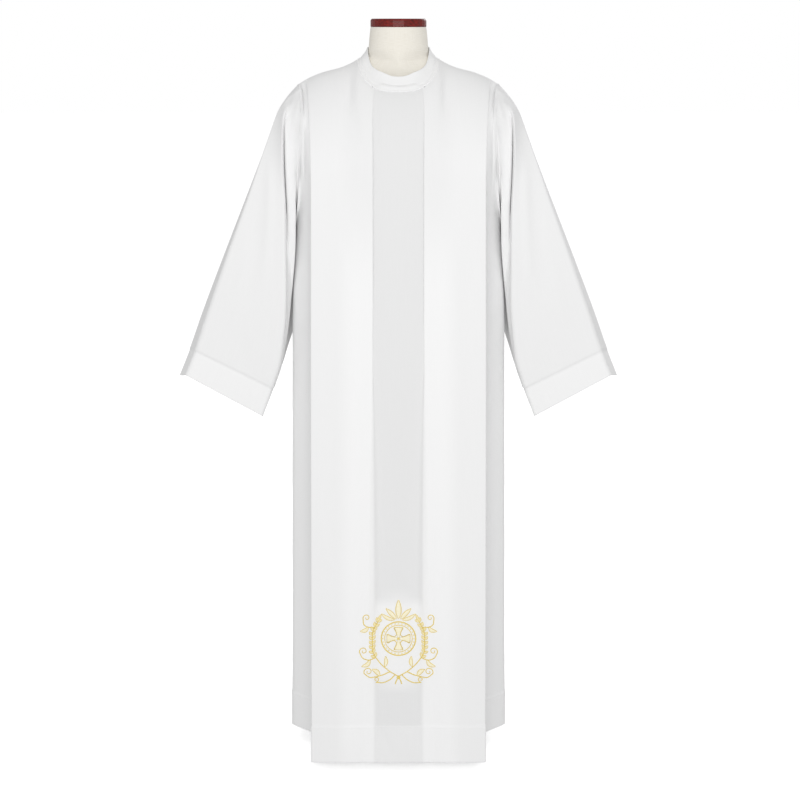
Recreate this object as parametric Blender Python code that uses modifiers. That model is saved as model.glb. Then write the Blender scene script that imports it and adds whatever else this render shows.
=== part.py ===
"""A long white alb on a limbless dress form: run with  blender --background --python part.py

Metres, +Z up, the floor at z = 0 and the wearer facing -Y. The garment is sewn from a front, a back,
two sleeves and a stand collar. Each is an open surface worked out from its sizes, with a cloth wall.
Every piece is its own closed object, 0.3 mm clear of its neighbours at the seams.
"""

import math

import bpy
import numpy as np

# ---- cloth -------------------------------------------------------------------------------------
CLOTH = 0.0012          # wall of one layer of the alb
HEM_CLOTH = 0.0022      # wall where a hem is turned up
COLLAR_CLOTH = 0.0020   # wall of the doubled collar
SEAM_GAP = 0.0003       # clearance between pieces at a seam
SEAM_LAY = 0.0030       # width pressed flat beside a seam
MERGE = 0.00001

# ---- lower edges -------------------------------------------------------------------------------
HEM_Z = 0.020           # front and back hem above the floor
SIDE_HEM_RISE = 0.010   # how much higher it hangs at the side seams
HEM_DEPTH = 0.081       # turned-up hem
CUFF_SHARE = 0.089      # turned-up hem of a sleeve, as a share of the sleeve
HEM_STEP = 0.002        # length over which the wall thickens at the top of a hem

# ---- neck and shoulders ------------------------------------------------------------------------
NECK_HALF_WIDTH = 0.087
NECK_SIDE_Z = 1.5362
NECK_SQUARENESS = 2.8
NECK_RISE = 1.6         # how late the neckline climbs to the shoulder seam
# side: how much of side_start beyond side_run is used below the chest; the back is the slimmer
FRONT_CUT = {"depth": 0.085, "z": 1.4706, "steep": 0.70, "side": 1.0}
BACK_CUT = {"depth": 0.078, "z": 1.5260, "steep": 0.45, "side": 0.1}
SHOULDER_LINE = (       # top of the shoulder, from the neck to the armhole
    # x,     z
    (0.087, 1.5362),
    (0.104, 1.5268),
    (0.124, 1.5187),
    (0.162, 1.5086),
    (0.193, 1.4962),
    (0.215, 1.4832),
)
NECK_TURNS = (          # where the panel's columns start on the neckline
    # share, degrees from the centre front or back
    (0.000, 0.0),
    (0.281, 33.0),
    (0.330, 47.0),
    (0.380, 60.0),
    (0.425, 72.0),
    (0.460, 81.5),
    (0.490, 90.0),
)
SHOULDER_CREASE_X = 0.193   # where the panel's crease starts on the shoulder
CORNER_FAN = 0.030          # width over which the columns fan out beside the neck
FAN = 0.7                   # how far sideways the outermost of them leave
ARMHOLE_LEAN = 45           # degrees off the seam at which the columns leave the armhole's top
ARMHOLE = {"top_x": 0.215, "top_z": 1.4832, "front_x": 0.2085, "depth": 0.105, "pit_x": 0.229,
           "pit_z": 1.170, "top_slope": -0.56}

# ---- level sections of the body, from the hem up -----------------------------------------------
# half_depth: centre line to the flat front; crease_x: pressed crease at the panel's edge;
# seam_x: side seam; side_start and side_run: where the side starts to slope out from behind the
# crease, as a distance in front of the side seam, and over how far;
# pleat_depth: set-back of the centre panel; pleat_soft: half-width of its step; fold: its overlap
BODY_LEVELS = (
    # z,    half_depth, crease_x, seam_x, side_start, side_run, pleat_depth, pleat_soft, fold
    (0.00, 0.2110, 0.1912, 0.2446, 0.062, 0.055, -0.006, 0.026, 0.000),
    (0.10, 0.2060, 0.1908, 0.2437, 0.070, 0.055, 0.003, 0.024, 0.000),
    (0.22, 0.2000, 0.1905, 0.2412, 0.080, 0.055, 0.010, 0.020, 0.000),
    (0.50, 0.1860, 0.1892, 0.2375, 0.092, 0.055, 0.012, 0.014, 0.000),
    (0.80, 0.1710, 0.1876, 0.2336, 0.100, 0.055, 0.012, 0.008, 0.001),
    (0.92, 0.1650, 0.1868, 0.2318, 0.108, 0.060, 0.0125, 0.006, 0.003),
    (1.00, 0.1610, 0.1862, 0.2304, 0.118, 0.068, 0.013, 0.004, 0.004),
    (1.12, 0.1550, 0.1852, 0.2235, 0.125, 0.070, 0.014, 0.003, 0.006),
    (1.20, 0.1510, 0.1847, 0.2175, 0.130, 0.067, 0.014, 0.003, 0.006),
    (1.30, 0.1450, 0.1840, 0.2130, 0.145, 0.065, 0.014, 0.003, 0.006),
)
PLEAT_SHARE = 0.281     # pleat edge as a share of the crease's distance from the centre
PLEAT_START_DEPTH = 0.3     # share of its depth that the pleat starts with at the neckline
PLEAT_START_SOFT = 0.0040   # half-width of its step there
PLEAT_TUCK = 0.0012     # how far the pleat's folds end below the collar's edge
CENTRE_SHARES = (0.000, 0.094, 0.187)
PANEL_SHARES = (0.330, 0.380, 0.425, 0.460, 0.490, 0.620, 0.750, 0.880, 1.000)
CORNER_SHARE = 0.490    # the column that ends where the neckline meets the shoulder seam
SIDE_FULL_FROM = 1.02   # above here both pieces' sides grow equally full
SIDE_FULL_FADE = 0.23
SIDE_ROUNDING = 0.35    # share of the side's slope that is rounded off at its ends
PANEL_BOW = 0.0045      # how far the panel bows forward between its pleat and its crease
PANEL_BOW_TOP = 1.350   # the height at which it starts
PANEL_BOW_FADE = 0.500
CHEST_Z = 1.300         # the front panel hangs straight below this height
SIDE_CHEST_Z = 1.060    # the same at the side seam
PLEAT_COLUMNS = 6
ARMHOLE_Q = (0.985, 0.965, 0.735)   # q beside the crease, at the armhole's top and half-way down it
ARMHOLE_Q_RISE = 0.7
LEAVE_PULL = 0.55       # how far a column keeps the way it leaves the shoulder or neckline
ARMHOLE_PULL = 0.20     # the same at the armhole
ARRIVE_PULL = 1.10      # how far it keeps plumb above the chest
UPPER_ROWS = 7          # from the seams down to the chest
LOWER_ROWS = 6          # from the chest down to the hem's sewing line

# ---- lines along the sleeve, from the armhole to the cuff --------------------------------------
# The first row of each is worked out from the armhole. share runs 0 to 1 along the sleeve.
OUTER_EDGE = (          # the middle of the sleeve's outer side
    # share, x,     y,      z
    (0.08, 0.2460, 0.000, 1.4485),
    (0.20, 0.2745, 0.000, 1.3800),
    (0.40, 0.3276, 0.000, 1.2480),
    (0.60, 0.3813, 0.000, 1.1150),
    (0.80, 0.4328, 0.000, 0.9840),
    (0.90, 0.4592, 0.000, 0.9120),
    (1.00, 0.4855, 0.000, 0.8480),
)
FRONT_CREASE = (        # pressed crease between the outer side and the front
    (0.08, 0.2445, -0.060, 1.4500),
    (0.20, 0.2725, -0.085, 1.3810),
    (0.40, 0.3186, -0.098, 1.2520),
    (0.60, 0.3673, -0.095, 1.1220),
    (0.80, 0.4138, -0.087, 0.9930),
    (0.90, 0.4387, -0.083, 0.9220),
    (1.00, 0.4635, -0.080, 0.8610),
)
FRONT_FOLD = (          # inner edge of the flat front
    (0.08, 0.2405, -0.101, 1.4350),
    (0.20, 0.2448, -0.120, 1.3450),
    (0.40, 0.2402, -0.121, 1.2050),
    (0.60, 0.2405, -0.114, 1.0500),
    (0.80, 0.2530, -0.100, 0.9080),
    (0.90, 0.2720, -0.090, 0.8400),
    (1.00, 0.2965, -0.080, 0.7690),
)
UNDER_FOLD = (          # bottom of the deep fold behind the front's edge
    (0.08, 0.2378, -0.1025, 1.4285),
    (0.20, 0.2420, -0.0900, 1.3380),
    (0.40, 0.2390, -0.0900, 1.1990),
    (0.60, 0.2405, -0.0880, 1.0460),
    (0.80, 0.2522, -0.0800, 0.9050),
    (0.90, 0.2715, -0.0720, 0.8380),
    (1.00, 0.2967, -0.0640, 0.7685),
)
STRIP_OUTER = (         # outer edge of the narrow fold between the front and the body
    (0.08, 0.2350, -0.1035, 1.4220),
    (0.20, 0.2368, -0.1060, 1.3300),
    (0.40, 0.2330, -0.0965, 1.1910),
    (0.60, 0.2345, -0.0680, 1.0380),
    (0.80, 0.2522, -0.0580, 0.8990),
    (0.90, 0.2717, -0.0540, 0.8350),
    (1.00, 0.2968, -0.0480, 0.7680),
)
STRIP_INNER = (         # its inner edge
    (0.08, 0.2165, -0.1045, 1.3300),
    (0.20, 0.2185, -0.1020, 1.2620),
    (0.40, 0.2205, -0.0910, 1.1600),
    (0.60, 0.2335, -0.0550, 1.0260),
    (0.80, 0.2530, -0.0380, 0.8910),
    (0.90, 0.2722, -0.0360, 0.8310),
    (1.00, 0.2970, -0.0320, 0.7670),
)
SIDE_GAP = (            # the sleeve's stretch that faces the body
    (0.08, 0.2200, -0.098, 1.2660),
    (0.20, 0.2240, -0.088, 1.2050),
    (0.40, 0.2300, -0.060, 1.1200),
    (0.60, 0.2405, -0.034, 1.0030),
    (0.80, 0.2560, -0.018, 0.8830),
    (0.90, 0.2740, -0.018, 0.8270),
    (1.00, 0.2971, -0.016, 0.7665),
)
UNDERARM = (            # underarm seam
    (0.08, 0.2385, 0.003, 1.1500),
    (0.20, 0.2425, 0.008, 1.1000),
    (0.40, 0.2440, 0.010, 1.0400),
    (0.60, 0.2450, 0.010, 0.9670),
    (0.80, 0.2620, 0.008, 0.8750),
    (0.90, 0.2780, 0.004, 0.8220),
    (1.00, 0.2973, 0.000, 0.7660),
)
BACK_LINES = (          # the same lines on the sleeve's back, in terms of those on its front
    # share, depth ratio, inward shift of the folds
    (0.00, 1.000, 0.0000),
    (0.08, 1.000, -0.0006),
    (0.20, 1.000, -0.0006),
    (0.40, 0.950, 0.0060),
    (0.60, 0.800, 0.0140),
    (0.70, 0.740, 0.0165),
    (0.80, 0.690, 0.0020),
    (0.90, 0.650, -0.0060),
    (1.00, 0.620, 0.0000),
)
SHIFT_DEPTH = 0.090     # depth at which a back line takes the whole shift
ARMHOLE_TURNS = (0.0, 0.34, 0.647, 0.78, 0.92, 1.45, 1.90, math.pi)   # where each line starts
LINE_CUTS = (1, 3, 1, 1, 2, 1, 3)       # columns between one line and the next
LINE_SHARP = (0, 1, 1, 0, 0, 0, 0, 0)   # 1 at a crease
LAY_SHARE = 0.006       # share at which the flat stretch beside the armhole seam ends
CUFF_STEP = 0.004       # share over which the wall thickens at the top of the cuff's hem
SLEEVE_ROWS = (0.0, LAY_SHARE, 0.040, 0.080, 0.140, 0.200, 0.300, 0.350, 0.400, 0.450, 0.500, 0.550,
               0.600, 0.700, 0.800)

# ---- collar ------------------------------------------------------------------------------------
COLLAR_ROWS = 5
COLLAR_LAY = 0.0025     # upright edge where it joins the neckline
COLLAR_LEAVE = (36, 45)     # degrees above level at which it goes on above that, at the sides and in front
COLLAR_ARRIVE = 76          # the same at its top edge
COLLAR_EDGE = (         # how far its top edge has dropped; share of the drop from side to front
    # degrees from the centre, share
    (0, 1.000),
    (10, 0.985),
    (25, 0.880),
    (52, 0.650),
    (76, 0.200),
    (90, 0.000),
)
COLLAR_TOP = {"half_width": 0.0668, "front": 0.0655, "back": 0.0660, "front_z": 1.5010,
              "side_z": 1.5620, "back_z": 1.5600, "squareness": 2.5}

# ---- dress form --------------------------------------------------------------------------------
FORM_LEVELS = (         # level sections, up to the shoulder tips
    # z,    half_width, half_depth, squareness
    (0.800, 0.172, 0.112, 2.3),
    (0.880, 0.176, 0.118, 2.3),
    (0.980, 0.163, 0.112, 2.3),
    (1.080, 0.150, 0.103, 2.3),
    (1.180, 0.162, 0.112, 2.4),
    (1.280, 0.180, 0.114, 2.5),
    (1.380, 0.192, 0.100, 2.4),
    (1.440, 0.197, 0.084, 2.2),
)
FORM_SHOULDER = (       # level sections whose ends carry the cloth; z is read off the shoulder line
    # x,    half_depth, squareness
    (0.200, 0.056, 1.60),
    (0.188, 0.055, 1.40),
    (0.172, 0.055, 1.30),
    (0.150, 0.056, 1.25),
    (0.126, 0.0575, 1.22),
    (0.106, 0.059, 1.20),
    (0.090, 0.060, 1.20),
)
FORM_CLEARANCE = 0.0006
FORM_NECK = (
    # z,    half_width, half_depth, squareness
    (1.5460, 0.0665, 0.0605, 1.6),
    (1.5600, 0.0640, 0.0610, 2.0),
    (1.5850, 0.0618, 0.0608, 2.0),
    (1.6034, 0.0596, 0.0598, 2.0),
)
FORM_COLUMNS = 28
FORM_ROWS = 12
FORM_FLOOR = 0.006      # rounding of the form's lower edge
FORM_FLOOR_DRAW = (0.94, 0.91)  # how far its width and depth draw in there
CAP = {"half_width": 0.0598, "half_depth": 0.0600, "height": 0.0175, "edge": 0.0045}
POLE_RADIUS = 0.0140
FLANGE = {"radius": 0.045, "thickness": 0.006}
BASE_RADIUS = 0.150
BASE_HEIGHT = 0.012
SOCKET_RADIUS = 0.026
SOCKET_HEIGHT = 0.045


# ---- curves and tables -------------------------------------------------------------------------
def steady_slopes(x, y):
    """Slopes of a monotone cubic through (x, y): it never overshoots the rows it joins."""
    h = np.diff(x)[:, None]
    d = np.diff(y, axis=0) / h
    slopes = np.empty_like(y)
    slopes[0], slopes[-1] = d[0], d[-1]
    same_way = d[:-1] * d[1:] > 0
    w0, w1 = 2 * h[1:] + h[:-1], h[1:] + 2 * h[:-1]
    below = np.where(same_way, w0 * d[1:] + w1 * d[:-1], 1.0)
    slopes[1:-1] = np.where(same_way, (w0 + w1) * d[:-1] * d[1:] / below, 0.0)
    return slopes


def read_table(table, at):
    """Columns of a table, smoothly interpolated by its first column."""
    rows = np.array(table, float)
    x, y = rows[:, 0], rows[:, 1:]
    slopes = steady_slopes(x, y)
    at = np.clip(np.atleast_1d(np.asarray(at, float)), x[0], x[-1])
    i = np.clip(np.searchsorted(x, at, side="right") - 1, 0, len(x) - 2)
    h = (x[i + 1] - x[i])[:, None]
    t = (at[:, None] - x[i][:, None]) / h
    return (
        y[i] * (1 + 2 * t) * (1 - t) ** 2
        + slopes[i] * h * t * (1 - t) ** 2
        + y[i + 1] * t * t * (3 - 2 * t)
        + slopes[i + 1] * h * t * t * (t - 1)
    )


def hermite(start, leave, end, arrive, t):
    """Points of the cubic from start to end with the given end directions."""
    t = np.asarray(t, float)[:, None]
    return (
        start * (1 + 2 * t) * (1 - t) ** 2
        + leave * t * (1 - t) ** 2
        + end * t * t * (3 - 2 * t)
        + arrive * t * t * (t - 1)
    )


def unit(vector):
    return vector / np.linalg.norm(vector)


def ease(t):
    t = np.clip(t, 0.0, 1.0)
    return t * t * (3 - 2 * t)


# ---- Blender helpers ---------------------------------------------------------------------------
def new_collection(name):
    made = bpy.data.collections.new(name)
    bpy.context.scene.collection.children.link(made)
    return made


def material(name, color, roughness, metallic=0.0):
    made = bpy.data.materials.new(name)
    made.use_nodes = True
    shader = made.node_tree.nodes["Principled BSDF"]
    shader.inputs["Base Color"].default_value = (*color, 1.0)
    shader.inputs["Roughness"].default_value = roughness
    shader.inputs["Metallic"].default_value = metallic
    return made


def add_object(name, mesh, finish, home):
    obj = bpy.data.objects.new(name, mesh)
    home.objects.link(obj)
    mesh.materials.append(finish)
    return obj


def smooth(obj, angle=40):
    obj.data.shade_smooth()
    obj.data.set_sharp_from_angle(angle=math.radians(angle))


def grid_mesh(name, grid, ring=False, caps=False):
    """A mesh over rows x columns of points, each of its cells cut into two along the shorter
    diagonal. A ring joins the last column to the first."""
    rows, columns = grid.shape[:2]
    index = np.arange(rows * columns).reshape(rows, columns)
    if ring:
        index = np.hstack([index, index[:, :1]])
    cells = np.stack([index[:-1, :-1], index[1:, :-1], index[1:, 1:], index[:-1, 1:]], axis=-1)
    cells = cells.reshape(-1, 4)
    corners = grid.reshape(-1, 3)[cells]
    down = np.linalg.norm(corners[:, 2] - corners[:, 0], axis=1)
    up = np.linalg.norm(corners[:, 3] - corners[:, 1], axis=1)
    cells = np.where((up < down)[:, None], np.roll(cells, -1, axis=1), cells)
    faces = cells[:, [0, 1, 2, 0, 2, 3]].reshape(-1, 3).tolist()
    if caps:
        faces += [index[0, :-1].tolist(), index[-1, :-1][::-1].tolist()]
    mesh = bpy.data.meshes.new(name)
    mesh.from_pydata(grid.reshape(-1, 3).tolist(), [], faces)
    return mesh


def cloth_wall(obj, thickness, hem=None):
    """Gives an open surface its wall, on the inside. hem is (first vertex, last, thickness)."""
    solid = obj.modifiers.new("cloth wall", "SOLIDIFY")
    solid.offset = -1.0
    solid.thickness = thickness
    if hem:
        first, last, thick = hem
        group = obj.vertex_groups.new(name="hem")
        group.add(list(range(first, last)), 1.0, "REPLACE")
        solid.vertex_group = group.name
        solid.thickness = thick
        solid.thickness_vertex_group = thickness / thick
    smooth(obj)


# ---- armhole and shoulder ----------------------------------------------------------------------
def armhole_point(turn):
    """A point of the armhole's front half: turn is 0 at the shoulder and pi at the armpit."""
    hole = ARMHOLE
    down = (1 - math.cos(turn)) / 2
    x = hole["top_x"] + (hole["pit_x"] - hole["top_x"]) * down
    x += (hole["front_x"] - (hole["top_x"] + hole["pit_x"]) / 2) * math.sin(turn)
    z = hole["top_z"] + (hole["pit_z"] - hole["top_z"]) * down
    return np.array((x, -hole["depth"] * math.sin(turn), z))


def armhole_frame(turn):
    """Unit vectors at an armhole point: outwards across the seam, and down along it."""
    step = 0.01
    along = unit(armhole_point(turn + step) - armhole_point(turn - step))
    across = np.array((1.0, 0.0, ARMHOLE["top_slope"] * math.cos(min(turn, math.pi / 2)) ** 2))
    across -= along * (across @ along)
    return unit(across), along


# ---- body --------------------------------------------------------------------------------------
def section_point(share, q, z, cut):
    """Points of a body column at heights z. share runs 0 to 1 over the front panel, from the centre
    to the crease. Past the crease q falls from 1 to 0 at the side seam."""
    half_depth, crease_x, seam_x, side_start, side_run = read_table(BODY_LEVELS, z)[:, :5].T
    if q >= 1:
        across = np.clip((share - PLEAT_SHARE) / (1 - PLEAT_SHARE), 0, 1)
        bow = PANEL_BOW * math.sin(math.pi * across) * ease((PANEL_BOW_TOP - z) / PANEL_BOW_FADE)
        return np.stack([share * crease_x, -half_depth - bow, z], axis=-1)
    y = -half_depth * q
    full = cut["side"] + (1 - cut["side"]) * ease((z - SIDE_FULL_FROM) / SIDE_FULL_FADE)
    start = side_run + (side_start - side_run) * full
    t = np.clip((start + y) / side_run, 0, 1)
    out = SIDE_ROUNDING * ease(t) + (1 - SIDE_ROUNDING) * t
    return np.stack([crease_x + (seam_x - crease_x) * out, y, z], axis=-1)


def pleat_shift(share, step, z):
    """Shift (x, y) of a column by the pleat: step runs 0 to 1 from the set-back centre to the flat
    panel, and is None on either side of it, where the columns make room for it."""
    depth, soft, fold = read_table(BODY_LEVELS, z)[:, 5:].T
    if step is None and share < PLEAT_SHARE:
        return (fold - soft) * share / PLEAT_SHARE, depth
    if step is None:
        return (fold + soft) * (1 - share) / (1 - PLEAT_SHARE), 0 * depth
    dx = soft * (2 * step - 1) + fold * (1 + math.sin(2 * math.pi * step))
    return dx, depth * (1 + math.cos(math.pi * step)) / 2


def neckline_point(turn, cut):
    """A point of the neckline: turn is 0 at the centre and pi/2 at the shoulder seam."""
    side, front = abs(math.sin(turn)), abs(math.cos(turn))
    reach = (side**NECK_SQUARENESS + front**NECK_SQUARENESS) ** (-1 / NECK_SQUARENESS)
    z = NECK_SIDE_Z - (NECK_SIDE_Z - cut["z"]) * (front * reach) ** NECK_RISE
    return np.array((NECK_HALF_WIDTH * side * reach, -cut["depth"] * front * reach, z))


def shoulder_slope(x):
    step = 0.002
    low, high = read_table(SHOULDER_LINE, (x - step, x + step))[:, 0]
    return (high - low) / (2 * step)


def column_top(share, turn, cut):
    """Where a column of the body starts, and the way the cloth leaves the seam there."""
    if turn is not None:
        across, along = armhole_frame(turn)
        lean = math.radians(ARMHOLE_LEAN) * (1 - turn / math.pi)
        leave = -across * math.cos(lean) + along * math.sin(lean)
        start = armhole_point(turn) - across * SEAM_GAP / 2
        return start - (0, SEAM_GAP * ease(1 - 2 * turn), 0), leave     # clear of the shoulder seam
    if share < CORNER_SHARE:
        round_neck = math.radians(read_table(NECK_TURNS, share)[0][0])
        front, out = math.cos(round_neck), FAN * math.sin(round_neck) ** 4
        fall = cut["steep"] * front**1.2 - out * shoulder_slope(NECK_HALF_WIDTH + 0.003)
        return neckline_point(round_neck, cut), unit(np.array((out, -0.7, -fall)))
    panel = (share - CORNER_SHARE) / (1 - CORNER_SHARE)
    x = NECK_HALF_WIDTH + (SHOULDER_CREASE_X - NECK_HALF_WIDTH) * panel
    fan = FAN * ease(1 - (x - NECK_HALF_WIDTH) / CORNER_FAN)
    fan -= FAN * ease((x - SHOULDER_CREASE_X) / (ARMHOLE["top_x"] - SHOULDER_CREASE_X))
    slope = shoulder_slope(min(max(x, NECK_HALF_WIDTH + 0.003), ARMHOLE["top_x"] - 0.003))
    leave = np.array((fan, -1 + (1 - FAN) * abs(fan) / FAN, fan * slope))
    return np.array((x, 0.0, read_table(SHOULDER_LINE, x)[0][0])), unit(leave)


def body_columns():
    """(share, q, step, turn) of each column of half a body piece, from the centre out. step is None
    away from the pleat, and turn away from the armhole."""
    columns = [(share, 1.0, None, None) for share in CENTRE_SHARES]
    columns += [(PLEAT_SHARE, 1.0, step, None) for step in np.linspace(0, 1, PLEAT_COLUMNS + 1)]
    columns += [(share, 1.0, None, None) for share in PANEL_SHARES]
    tip = 1 + (1 - CORNER_SHARE) * (ARMHOLE["top_x"] - SHOULDER_CREASE_X) / (
        SHOULDER_CREASE_X - NECK_HALF_WIDTH)
    columns += [((1 + tip) / 2, ARMHOLE_Q[0], None, None)]
    for turn in armhole_turns()[:-1] + [math.pi - SEAM_LAY / ARMHOLE["depth"], math.pi]:
        early = min(turn / (math.pi / 2), 1.0) ** ARMHOLE_Q_RISE
        late = max(turn / (math.pi / 2) - 1, 0.0)
        columns.append((tip, (ARMHOLE_Q[1] + (ARMHOLE_Q[2] - ARMHOLE_Q[1]) * early) * (1 - late),
                        None, turn))
    return columns


def armhole_turns():
    """The armhole turns at which the sleeve's front columns start."""
    turns = [ARMHOLE_TURNS[0]]
    for start, end, cuts in zip(ARMHOLE_TURNS, ARMHOLE_TURNS[1:], LINE_CUTS):
        turns += list(np.linspace(start, end, cuts + 1)[1:])
    return turns


def body_column(share, q, step, turn, cut):
    """One column of a body piece, from its seam at the top down to the hem."""
    low = 0.0 if turn is None else turn / math.pi
    chest = CHEST_Z + (SIDE_CHEST_Z - CHEST_Z) * low**2
    hem = HEM_Z + SIDE_HEM_RISE * ease(1 - q)
    sewn = hem + HEM_DEPTH
    z = np.concatenate([np.linspace(chest, sewn + HEM_STEP, LOWER_ROWS), [sewn, hem]])
    hanging = section_point(share, q, z, cut)
    start, leave = column_top(share, turn, cut)
    if q >= 1:
        dx, dy = pleat_shift(share, step, z)
        hanging[:, 0] += dx
        hanging[:, 1] += dy
        start[1] += PLEAT_START_DEPTH * dy[0]
    if step is not None:
        start += (PLEAT_START_SOFT * (2 * step - 1), 0, -PLEAT_TUCK)
    length = np.linalg.norm(hanging[0] - start)
    lay = start + leave * SEAM_LAY
    down = unit(hanging[1] - hanging[0])
    pull = LEAVE_PULL if turn is None else ARMHOLE_PULL
    over = hermite(lay, leave * length * pull, hanging[0], down * length * ARRIVE_PULL,
                   np.linspace(0, 1, UPPER_ROWS))
    return np.vstack([start[None], over[:-1], hanging])


def body_piece(name, cut, facing, finish, home):
    """The front (facing -1) or the back (facing 1): half a piece, mirrored at the centre line."""
    grid = np.stack([body_column(*column, cut) for column in body_columns()], axis=1)
    grid[:, 0, 0] = 0.0
    grid[:, :, 1] = np.minimum(grid[:, :, 1], -SEAM_GAP / 2)
    grid[:, -2] = grid[:, -1] - (0, SEAM_LAY, 0)
    if facing > 0:
        grid = grid[:, ::-1] * (1, -1, 1)
    rows, columns = grid.shape[:2]
    obj = add_object(name, grid_mesh(name, grid), finish, home)
    mirror = obj.modifiers.new("other half", "MIRROR")
    mirror.use_clip = True
    mirror.merge_threshold = MERGE
    cloth_wall(obj, CLOTH, ((rows - 2) * columns, rows * columns, HEM_CLOTH))
    return obj


# ---- sleeve ------------------------------------------------------------------------------------
def sleeve_lines(share):
    """The lines' points at each share: lines x shares x 3, the front ones from the outer edge round
    to the underarm, and then the back ones round to the outer edge again."""
    tables = (OUTER_EDGE, FRONT_CREASE, FRONT_FOLD, UNDER_FOLD, STRIP_OUTER, STRIP_INNER, SIDE_GAP,
              UNDERARM)
    front, back = [], []
    ratio, shift = read_table(BACK_LINES, share).T
    for table, turn in zip(tables, ARMHOLE_TURNS):
        seam = armhole_point(turn)
        across, _ = armhole_frame(turn)
        first = (0.0, *(seam + across * SEAM_GAP / 2))
        lay = (LAY_SHARE, *(seam + across * (SEAM_LAY + SEAM_GAP / 2)))
        front.append(read_table((first, lay, *table), share))
        x, y, z = front[-1].T
        nearer = shift * np.clip(-y / SHIFT_DEPTH, 0, 1) * (table not in (OUTER_EDGE, FRONT_CREASE))
        back.append(np.stack([x - nearer, -y * ratio, z], axis=-1))
    back[0], back[-1] = front[0], front[-1]
    return np.array(front + back[-2:0:-1])


def sleeve_grid():
    """Rows x columns of the sleeve's outer surface."""
    share = np.concatenate([SLEEVE_ROWS, [1 - CUFF_SHARE - CUFF_STEP, 1 - CUFF_SHARE, 1.0]])
    lines = sleeve_lines(share)
    count = len(lines)
    cuts = list(LINE_CUTS) + list(LINE_CUTS)[::-1]
    sharp = list(LINE_SHARP) + list(LINE_SHARP)[-2:0:-1]
    columns = []
    for i in range(count):
        here, there = lines[i], lines[(i + 1) % count]
        before, after = lines[i - 1], lines[(i + 2) % count]
        leave = there - here if sharp[i] else (there - before) / 2
        arrive = there - here if sharp[(i + 1) % count] else (after - here) / 2
        for t in np.arange(cuts[i]) / cuts[i]:
            a, b = t * (1 - t) ** 2, t * t * (t - 1)
            blend = t * t * (3 - 2 * t)
            columns.append(here * (1 - blend) + there * blend + leave * a + arrive * b)
    grid = np.stack(columns, axis=1)
    return grid


def sleeve(name, side, finish, home):
    """side is 1 for the wearer's left sleeve, on +X, and -1 for the other."""
    grid = sleeve_grid()
    if side < 0:
        grid = grid[:, ::-1] * (-1, 1, 1)
    rows, columns = grid.shape[:2]
    obj = add_object(name, grid_mesh(name, grid, ring=True), finish, home)
    cloth_wall(obj, CLOTH, ((rows - 2) * columns, rows * columns, HEM_CLOTH))
    return obj


# ---- collar ------------------------------------------------------------------------------------
def collar_turns():
    """The turns round the neck of the collar's columns: those of the body's columns."""
    shares = sorted({*CENTRE_SHARES, PLEAT_SHARE, *PANEL_SHARES[:PANEL_SHARES.index(CORNER_SHARE) + 1]})
    quarter = [math.radians(read_table(NECK_TURNS, share)[0][0]) for share in shares]
    half = quarter + [math.pi - turn for turn in quarter[-2::-1]]
    return half + [2 * math.pi - turn for turn in half[-2:0:-1]]


def collar(finish, home):
    """A closed stand collar from the neckline up to its own top edge."""
    columns = []
    for turn in collar_turns():
        side, front = math.sin(turn), math.cos(turn)
        ahead = front > -1e-9
        base = neckline_point(turn, FRONT_CUT if ahead else BACK_CUT)
        base *= (math.copysign(1, side), 1 if ahead else -1, 1)
        base[2] += SEAM_GAP
        depth, edge_z = COLLAR_TOP["front"], COLLAR_TOP["front_z"]
        if not ahead:
            depth, edge_z = COLLAR_TOP["back"], COLLAR_TOP["back_z"]
        drop = read_table(COLLAR_EDGE, math.degrees(math.acos(min(abs(front), 1))))[0][0]
        top_z = COLLAR_TOP["side_z"] + (edge_z - COLLAR_TOP["side_z"]) * drop
        square = COLLAR_TOP["squareness"]
        reach = (abs(side) ** square + abs(front) ** square) ** (-1 / square)
        top = np.array((COLLAR_TOP["half_width"] * side * reach, -depth * front * reach, top_z))
        lay = base + (0, 0, COLLAR_LAY)
        inward = unit((top - lay) * (1, 1, 0))
        height = np.linalg.norm(top - lay)
        low = math.radians(COLLAR_LEAVE[0] + (COLLAR_LEAVE[1] - COLLAR_LEAVE[0]) * abs(front))
        high = math.radians(COLLAR_ARRIVE)
        leave = (inward * math.cos(low) + (0, 0, math.sin(low))) * height
        arrive = (inward * math.cos(high) + (0, 0, math.sin(high))) * height
        rise = hermite(lay, leave, top, arrive, np.linspace(0, 1, COLLAR_ROWS))
        columns.append(np.vstack([base[None], rise]))
    grid = np.stack(columns, axis=1)
    obj = add_object("collar", grid_mesh("collar", grid, ring=True), finish, home)
    cloth_wall(obj, COLLAR_CLOTH)
    return obj


# ---- dress form --------------------------------------------------------------------------------
def level_ring(z, half_width, half_depth, squareness):
    turn = np.arange(FORM_COLUMNS) / FORM_COLUMNS * 2 * math.pi
    c, s = np.cos(turn), np.sin(turn)
    x = half_width * np.sign(c) * np.abs(c) ** (2 / squareness)
    y = half_depth * np.sign(s) * np.abs(s) ** (2 / squareness)
    return np.stack([x, y, 0 * x + z], axis=-1)


def under_shoulder(x):
    """The point that lies under the shoulder line, clear of the cloth's wall, for a point of it."""
    slope = shoulder_slope(x)
    down = (CLOTH + FORM_CLEARANCE) / math.hypot(1, slope)
    return x + slope * down, read_table(SHOULDER_LINE, x)[0][0] - down


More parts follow.
